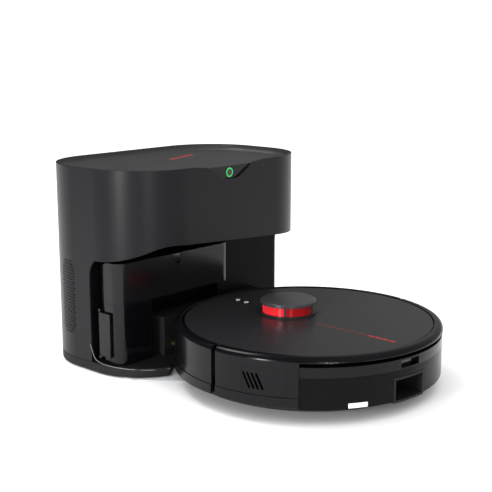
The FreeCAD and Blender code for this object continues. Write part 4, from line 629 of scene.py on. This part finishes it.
ROBOT_EDGES = {
    "body_shell": ("shell", 0.0), "bumper": ("shell", 0.0), "top_plate": ("plate", 0.0),
    "lidar_cap": ("cap", 0.0), "lidar_windows": ("red_clear", 0.0), "lidar_rotor": ("soft_black", 0.0006),
    "water_tank": ("tank_smoke", 0.0), "dust_box": ("shell", 0.0), "dust_port": ("soft_black", 0.0005),
    "tank_outlet": ("white_plastic", 0.0005), "bin_latch": ("gloss_black", 0.0005),
    "side_vent_grille": ("shell", 0.0), "chassis_pan": ("soft_black", 0.0008),
    "underside_wells": ("soft_black", 0.0), "brush_guard": ("soft_black", 0.0006),
    "bumper_sensor_window": ("gloss_black", 0.0003), "power_button": ("gloss_black", 0.0003),
    "home_button": ("gloss_black", 0.0003), "drive_gearbox_left": ("soft_black", 0.0008),
    "drive_gearbox_right": ("soft_black", 0.0008), "wheel_hub_left": ("grey_plastic", 0.0006),
    "wheel_hub_right": ("grey_plastic", 0.0006), "side_brush": ("grey_plastic", 0.0005),
    "caster_fork": ("soft_black", 0.0006), "caster_wheel": ("grey_plastic", 0.0008),
    "brush_core": ("grey_plastic", 0.0), "brush_blades": ("brush_rubber", 0.0004),
    "tyre_left": ("tyre_rubber", 0.0008), "tyre_right": ("tyre_rubber", 0.0008),
}


class VACUUM_OT_robot_pieces(bpy.types.Operator):
    """The robot's shell, bumper, plate, lidar, rear module and running gear, joined up and smooth shaded, the edges
    of the smaller pieces eased
    """
    bl_idname = "vacuum.robot_pieces"
    bl_label = "Robot pieces"

    def execute(self, context):
        for node, (finish, width) in ROBOT_EDGES.items():
            finished_copy(node, finish, width)
        return {"FINISHED"}


BAR_COUNT, BAR_WIDTH, BAR_HEIGHT, BAR_ROOT = 18, 0.0042, 0.0009, 0.001
BAR_INSET, BAR_LEAN = 0.0011, 0.05                # under the tyre's outer radius; radians
BAR_SPAN, BAR_SHIFT = 0.44, 0.24                  # of the tyre's width
SPRING_RADIUS, SPRING_WIRE, SPRING_TURNS = 0.004, 0.0006, 6
TUFT_FAN, TUFT_RISE = 0.16, 0.0012                # radians across a tuft, and its depth
BRISTLE_RADII, BRISTLE_HEIGHTS = (0.00022, 0.0002, 0.00012), (0.0012, 0.0008, 0.0003)


def bars_round(radius, span, slant):
    """Tread bars round the x axis, one grid each: a block from the tyre's face out by the bar's height, its two ends
    turned against each other by the slant angle."""
    half = BAR_WIDTH / radius / 2
    bars = []
    for middle_angle in np.arange(BAR_COUNT) / BAR_COUNT * 2 * np.pi:
        rings = []
        for x, lean in ((-span / 2, -slant), (span / 2, slant)):
            corner = middle_angle + lean + np.array([-half, -half * 0.7, half * 0.7, half])
            out = radius + np.array([-BAR_ROOT, BAR_HEIGHT, BAR_HEIGHT, -BAR_ROOT])
            rings.append(np.c_[np.full(4, x), out * np.cos(corner), out * np.sin(corner)])
        bars.append(capped(np.stack(rings)))
    return bars


def tread_bars(side):
    """Two rows of bars round one tyre, leaning against each other."""
    low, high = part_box(f"tyre_{side}")
    radius, width = (high.z - low.z) / 2, high.x - low.x
    bars = []
    for sign in (-1, 1):
        row = bars_round(radius - BAR_INSET, width * BAR_SPAN, sign * BAR_LEAN)
        bars += [bar + (sign * (width * BAR_SHIFT), 0, 0) for bar in row]
    piece_of(f"tread_bars_{side}", bars, Matrix.Translation((low + high) / 2), f"wheel_{side}", "tyre_rubber")


def coil_springs():
    """A pair of coils: x = r cos a, y = r sin a, with z rising evenly over the turns."""
    low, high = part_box("suspension_springs")
    spread = (high.x - low.x) / 2 - SPRING_RADIUS
    turn = np.linspace(0, 2 * np.pi * SPRING_TURNS, 24 * SPRING_TURNS)
    coil = (SPRING_RADIUS - SPRING_WIRE) * np.c_[np.cos(turn), np.sin(turn), np.zeros(len(turn))]
    coil[:, 2] = np.linspace(low.z + SPRING_WIRE, high.z - SPRING_WIRE, len(turn))
    coils = [tube(coil + (sign * spread, 0, 0), SPRING_WIRE, 8) for sign in (-1, 1)]
    springs = piece_of("coil_springs", coils, Matrix.Translation(flat((low + high) / 2)), "robot",
                       "spring_steel")
    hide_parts("suspension_springs")


def brush_bristles(count):
    """A tuft of thin bristles along each arm of the side brush, sagging towards their tips."""
    low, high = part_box("side_brush")
    axis = Vector(JOINTS["side_brush_spin"]["pos_m"])
    reach = max(high.x - axis.x, axis.x - low.x, high.y - axis.y, axis.y - low.y) * 0.98
    rng = np.random.default_rng(7)
    bristles = []
    for arm in side_brush_angles():
        spread = arm + (rng.random(count) - 0.5) * TUFT_FAN
        outward = np.c_[np.cos(spread), np.sin(spread)]
        start = outward * reach * 0.45
        end = outward * (reach * (0.93 + 0.07 * rng.random((count, 1))))
        rises = rng.random(count) * TUFT_RISE
        for near, far, rise in zip(start, end, rises):
            plan = np.array([near, (near + far) / 2, far])
            path = np.c_[plan, [low.z + height + rise for height in BRISTLE_HEIGHTS]]
            bristles.append(tube(path, BRISTLE_RADII, 4))
    piece_of("side_brush_bristles", bristles, Matrix.Translation(flat(axis)), "side_brush_body", "bristle")


class VACUUM_OT_running_gear(bpy.types.Operator):
    """Tread bars on the tyres, coiled suspension springs and the side brush's bristle tufts"""
    bl_idname = "vacuum.running_gear"
    bl_label = "Running gear"

    def execute(self, context):
        for side in ("left", "right"):
            tread_bars(side)
        coil_springs()
        brush_bristles(context.scene.vacuum_robot.bristles)
        return {"FINISHED"}


def side_brush_angles():
    """Angles of the side brush's three arms, from the far ends of its own shape."""
    axis = np.array(JOINTS["side_brush_spin"]["pos_m"])
    mesh = frame["nodes"]["side_brush"].data
    points = np.zeros(len(mesh.vertices) * 3)
    mesh.vertices.foreach_get("co", points)
    away = points.reshape(-1, 3)[:, :2] - axis[:2]
    far = away[np.linalg.norm(away, axis=1) > np.linalg.norm(away, axis=1).max() * 0.97]
    angle = np.arctan2(far[:, 1], far[:, 0])
    third = 2 * np.pi / 3
    first = np.angle(np.exp(3j * angle).mean()) / 3
    return [first, first + third, first + 2 * third]


PLATE_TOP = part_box("body_shell")[1].z - 0.0008
TRAY_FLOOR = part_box("top_cover")[1].z - 0.0084
PRINT_SUNK, PRINT_PROUD = 0.0002, 0.0001
LINE_START, LINE_TURN, LINE_END = (-0.0102, -0.026), (-0.0012, -0.106), (0.003, -0.146)
MARK_START, MARK_END = (0.016, 0.033), (0.082, 0.054)
ICON_STROKE, ICON_RING = 0.00042, 0.0029


def power_icon(top):
    """An open ring with a bar through its gap."""
    angle = np.radians(np.linspace(115, 425, 32))
    ring = np.c_[np.cos(angle), np.sin(angle), np.zeros(32)] * ICON_RING + (0, 0, top)
    bar = np.c_[np.zeros(4), np.linspace(0.0008, 0.0036, 4), np.full(4, top)]
    return [ring, bar]


def home_icon(top):
    """A roof over three walls."""
    roof = np.array([[-0.0034, 0.0002, top], [0, 0.0032, top], [0.0034, 0.0002, top]])
    walls = np.array([[-0.0023, 0.0006, top], [-0.0023, -0.0028, top], [0.0023, -0.0028, top],
                      [0.0023, 0.0006, top]])
    return [roof, walls]


class VACUUM_OT_prints(bpy.types.Operator):
    """Printed marks: a red broken line on the robot's plate, red dashes on the dock's tray, white button icons"""
    bl_idname = "vacuum.prints"
    bl_label = "Printed marks"

    def execute(self, context):
        count = context.scene.vacuum_robot.dashes
        skin = (PLATE_TOP - PRINT_SUNK, PLATE_TOP + PRINT_PROUD)
        piece_of("plate_line_thin", dashes(LINE_START, LINE_TURN, count, 0.3, 0.0026, *skin),
                 ROBOT_PLACE, "robot", "accent_dim")
        piece_of("plate_line_bold", dashes(LINE_TURN, LINE_END, count // 2, 0.22, 0.0044, *skin),
                 ROBOT_PLACE, "robot", "accent")
        skin = (TRAY_FLOOR - PRINT_SUNK, TRAY_FLOOR + PRINT_PROUD)
        piece_of("tray_dashes", dashes(MARK_START, MARK_END, 7, 0.25, 0.0075, *skin),
                 DOCK_PLACE, "dock", "accent")
        for button, body, icon in (("power_button", "power_key", power_icon), ("home_button", "home_key", home_icon)):
            strokes = [tube(path, ICON_STROKE, 6) for path in icon(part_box(button)[1].z)]
            piece_of(f"{button}_icon", strokes, Matrix.Translation(flat(middle(button))), body, "icon")
        return {"FINISHED"}


# ---------------------------------------------------------------- floor, light and camera

FLOOR_REACH = 60.0
VIEW_ALONG, VIEW_DOWN = (0.6596, 0.7516), math.radians(11.68)      # the camera's heading in plan, and its tilt
CAMERA_PLACE, CAMERA_LENS = (-0.9052, -0.9085, 0.4422), 74.3
SOFT_SKY, GLOSSY_SKY = 0.85, (0.05, 0.42)         # the sky's strength for soft light, and its range in reflections
SUN_POWER, SUN_ANGLE, SUN_TILT = 1.3, math.radians(80), (math.radians(14), math.radians(-8), 0)
AREA_LIGHTS = {          # place and target from the robot's middle, width and height, watts
    "front_strip": ((-1.17, -1.97, 0.34), (-0.16, 0.15, 0.15), (0.16, 0.6), 9),
    "left_panel": ((-2.2, -0.35, 0.4), (-0.1, 0.1, 0.15), (0.35, 0.7), 30),
    "left_rim": ((-0.5, 1.3, 2.3), (-0.1, 0, 0.08), (1.4, 0.8), 30),
}


def lay_floor():
    """A wide flat floor of one pale tone."""
    corners = np.array([(-1, -1, 0), (1, -1, 0), (1, 1, 0), (-1, 1, 0)]) * FLOOR_REACH
    mesh = bpy.data.meshes.new("floor")
    fill_mesh(mesh, corners, np.array([[0, 1, 2, 3]]), Matrix())
    floor = link_new("floor", mesh)
    material, shader, place = new_finish("pale_floor")
    tone = noise(place, 3.0, 2.0)
    feed(shader, "Base Color", shades(place, (0.93, 0.93, 0.935), (0.96, 0.96, 0.96), tone))
    shader.inputs["Roughness"].default_value = 1.0
    shader.inputs["Specular IOR Level"].default_value = 0.0
    mesh.materials.append(material)


def hang_sky(scene):
    """White all round, evenly soft for matt surfaces; in reflections dim on the left and brighter to the right."""
    world = bpy.data.worlds.new("studio")
    scene.world = world
    world.use_nodes = True
    tree = world.node_tree
    tree.nodes.clear()
    out = tree.nodes.new("ShaderNodeOutputWorld")
    start = Wire(tree, None)
    direction = start.node("ShaderNodeTexCoord", output="Generated")
    rightward = start.node("ShaderNodeVectorMath", {"operation": "DOT_PRODUCT"},
                           {0: direction, 1: (VIEW_ALONG[1], -VIEW_ALONG[0], 0)}, output="Value")
    glossy = start.node("ShaderNodeClamp", None,
                        {"Value": rightward * 0.9 + 0.2, "Min": GLOSSY_SKY[0], "Max": GLOSSY_SKY[1]})
    seen = start.node("ShaderNodeLightPath", output="Is Camera Ray")
    soft = start.node("ShaderNodeLightPath", output="Is Diffuse Ray")
    strength = seen + soft * SOFT_SKY + (1 - seen - soft) * glossy
    sky = start.node("ShaderNodeBackground", None, {"Color": (1, 1, 1, 1), "Strength": strength})
    tree.links.new(sky.socket, out.inputs["Surface"])


def sun_light():
    """A wide overhead light that shapes the floor's shadow and stays out of reflections."""
    sun = bpy.data.lights.new("sky_panel", "SUN")
    sun.energy = SUN_POWER
    sun.angle = SUN_ANGLE
    holder = link_new("sky_panel", sun)
    holder.rotation_euler = SUN_TILT
    holder.visible_glossy = False


def area_light(name, place, target, size, power):
    """A rectangular light at one place, turned to face another."""
    light = bpy.data.lights.new(name, "AREA")
    light.shape = "RECTANGLE"
    light.size, light.size_y = size
    light.energy = power
    holder = link_new(name, light)
    holder.location = place
    holder.rotation_euler = (target - place).to_track_quat("-Z", "Y").to_euler()


def place_camera(scene, centre):
    """The camera, level from side to side and tilted down."""
    camera = link_new("camera", bpy.data.cameras.new("camera"))
    camera.data.sensor_width = 36
    camera.data.lens = CAMERA_LENS
    camera.location = centre + Vector(CAMERA_PLACE)
    level = math.cos(VIEW_DOWN)
    view = Vector((VIEW_ALONG[0] * level, VIEW_ALONG[1] * level, -math.sin(VIEW_DOWN)))
    camera.rotation_euler = view.to_track_quat("-Z", "Y").to_euler()
    scene.camera = camera


class VACUUM_OT_stage(bpy.types.Operator):
    """A plain pale floor, soft light from all round and the camera"""
    bl_idname = "vacuum.stage"
    bl_label = "Floor, light and camera"

    def execute(self, context):
        scene = context.scene
        scene.view_settings.view_transform = "Standard"
        scene.view_settings.look = "None"
        lay_floor()
        hang_sky(scene)
        sun_light()
        centre = ROBOT_PLACE.translation
        for name, (place, target, size, power) in AREA_LIGHTS.items():
            area_light(name, centre + Vector(place), centre + Vector(target), size, power)
        place_camera(scene, centre)
        return {"FINISHED"}


STEPS = [
    VACUUM_OT_carried_over,
    VACUUM_OT_dock_housing,
    VACUUM_OT_dock_pieces,
    VACUUM_OT_dock_lip_highlight,
    VACUUM_OT_robot_pieces,
    VACUUM_OT_running_gear,
    VACUUM_OT_prints,
    VACUUM_OT_stage,
]


class VACUUM_PT_panel(bpy.types.Panel):
    """Sizes, colours and building steps of the robot vacuum and its dock"""
    bl_label = "Robot Vacuum"
    bl_idname = "VACUUM_PT_panel"
    bl_space_type = "VIEW_3D"
    bl_region_type = "UI"
    bl_category = "Robot Vacuum"

    def draw(self, context):
        column = self.layout.column(align=True)
        for group in (context.scene.vacuum_dock, context.scene.vacuum_robot, context.scene.vacuum_colours):
            for name in group.__annotations__:
                column.prop(group, name)
        for step in STEPS:
            column.operator(step.bl_idname)


GROUPS = {"vacuum_dock": VacuumDockSizes, "vacuum_robot": VacuumRobotSizes, "vacuum_colours": VacuumColours}
CLASSES = [*GROUPS.values(), *STEPS, VACUUM_PT_panel]


def register():
    for cls in CLASSES:
        bpy.utils.register_class(cls)
    for name, group in GROUPS.items():
        setattr(bpy.types.Scene, name, PointerProperty(type=group))


def unregister():
    for name in GROUPS:
        delattr(bpy.types.Scene, name)
    for cls in reversed(CLASSES):
        bpy.utils.unregister_class(cls)


def main():
    register()
    for step in STEPS:
        group, name = step.bl_idname.split(".")
        getattr(getattr(bpy.ops, group), name)()


if __name__ == "__main__":
    main()
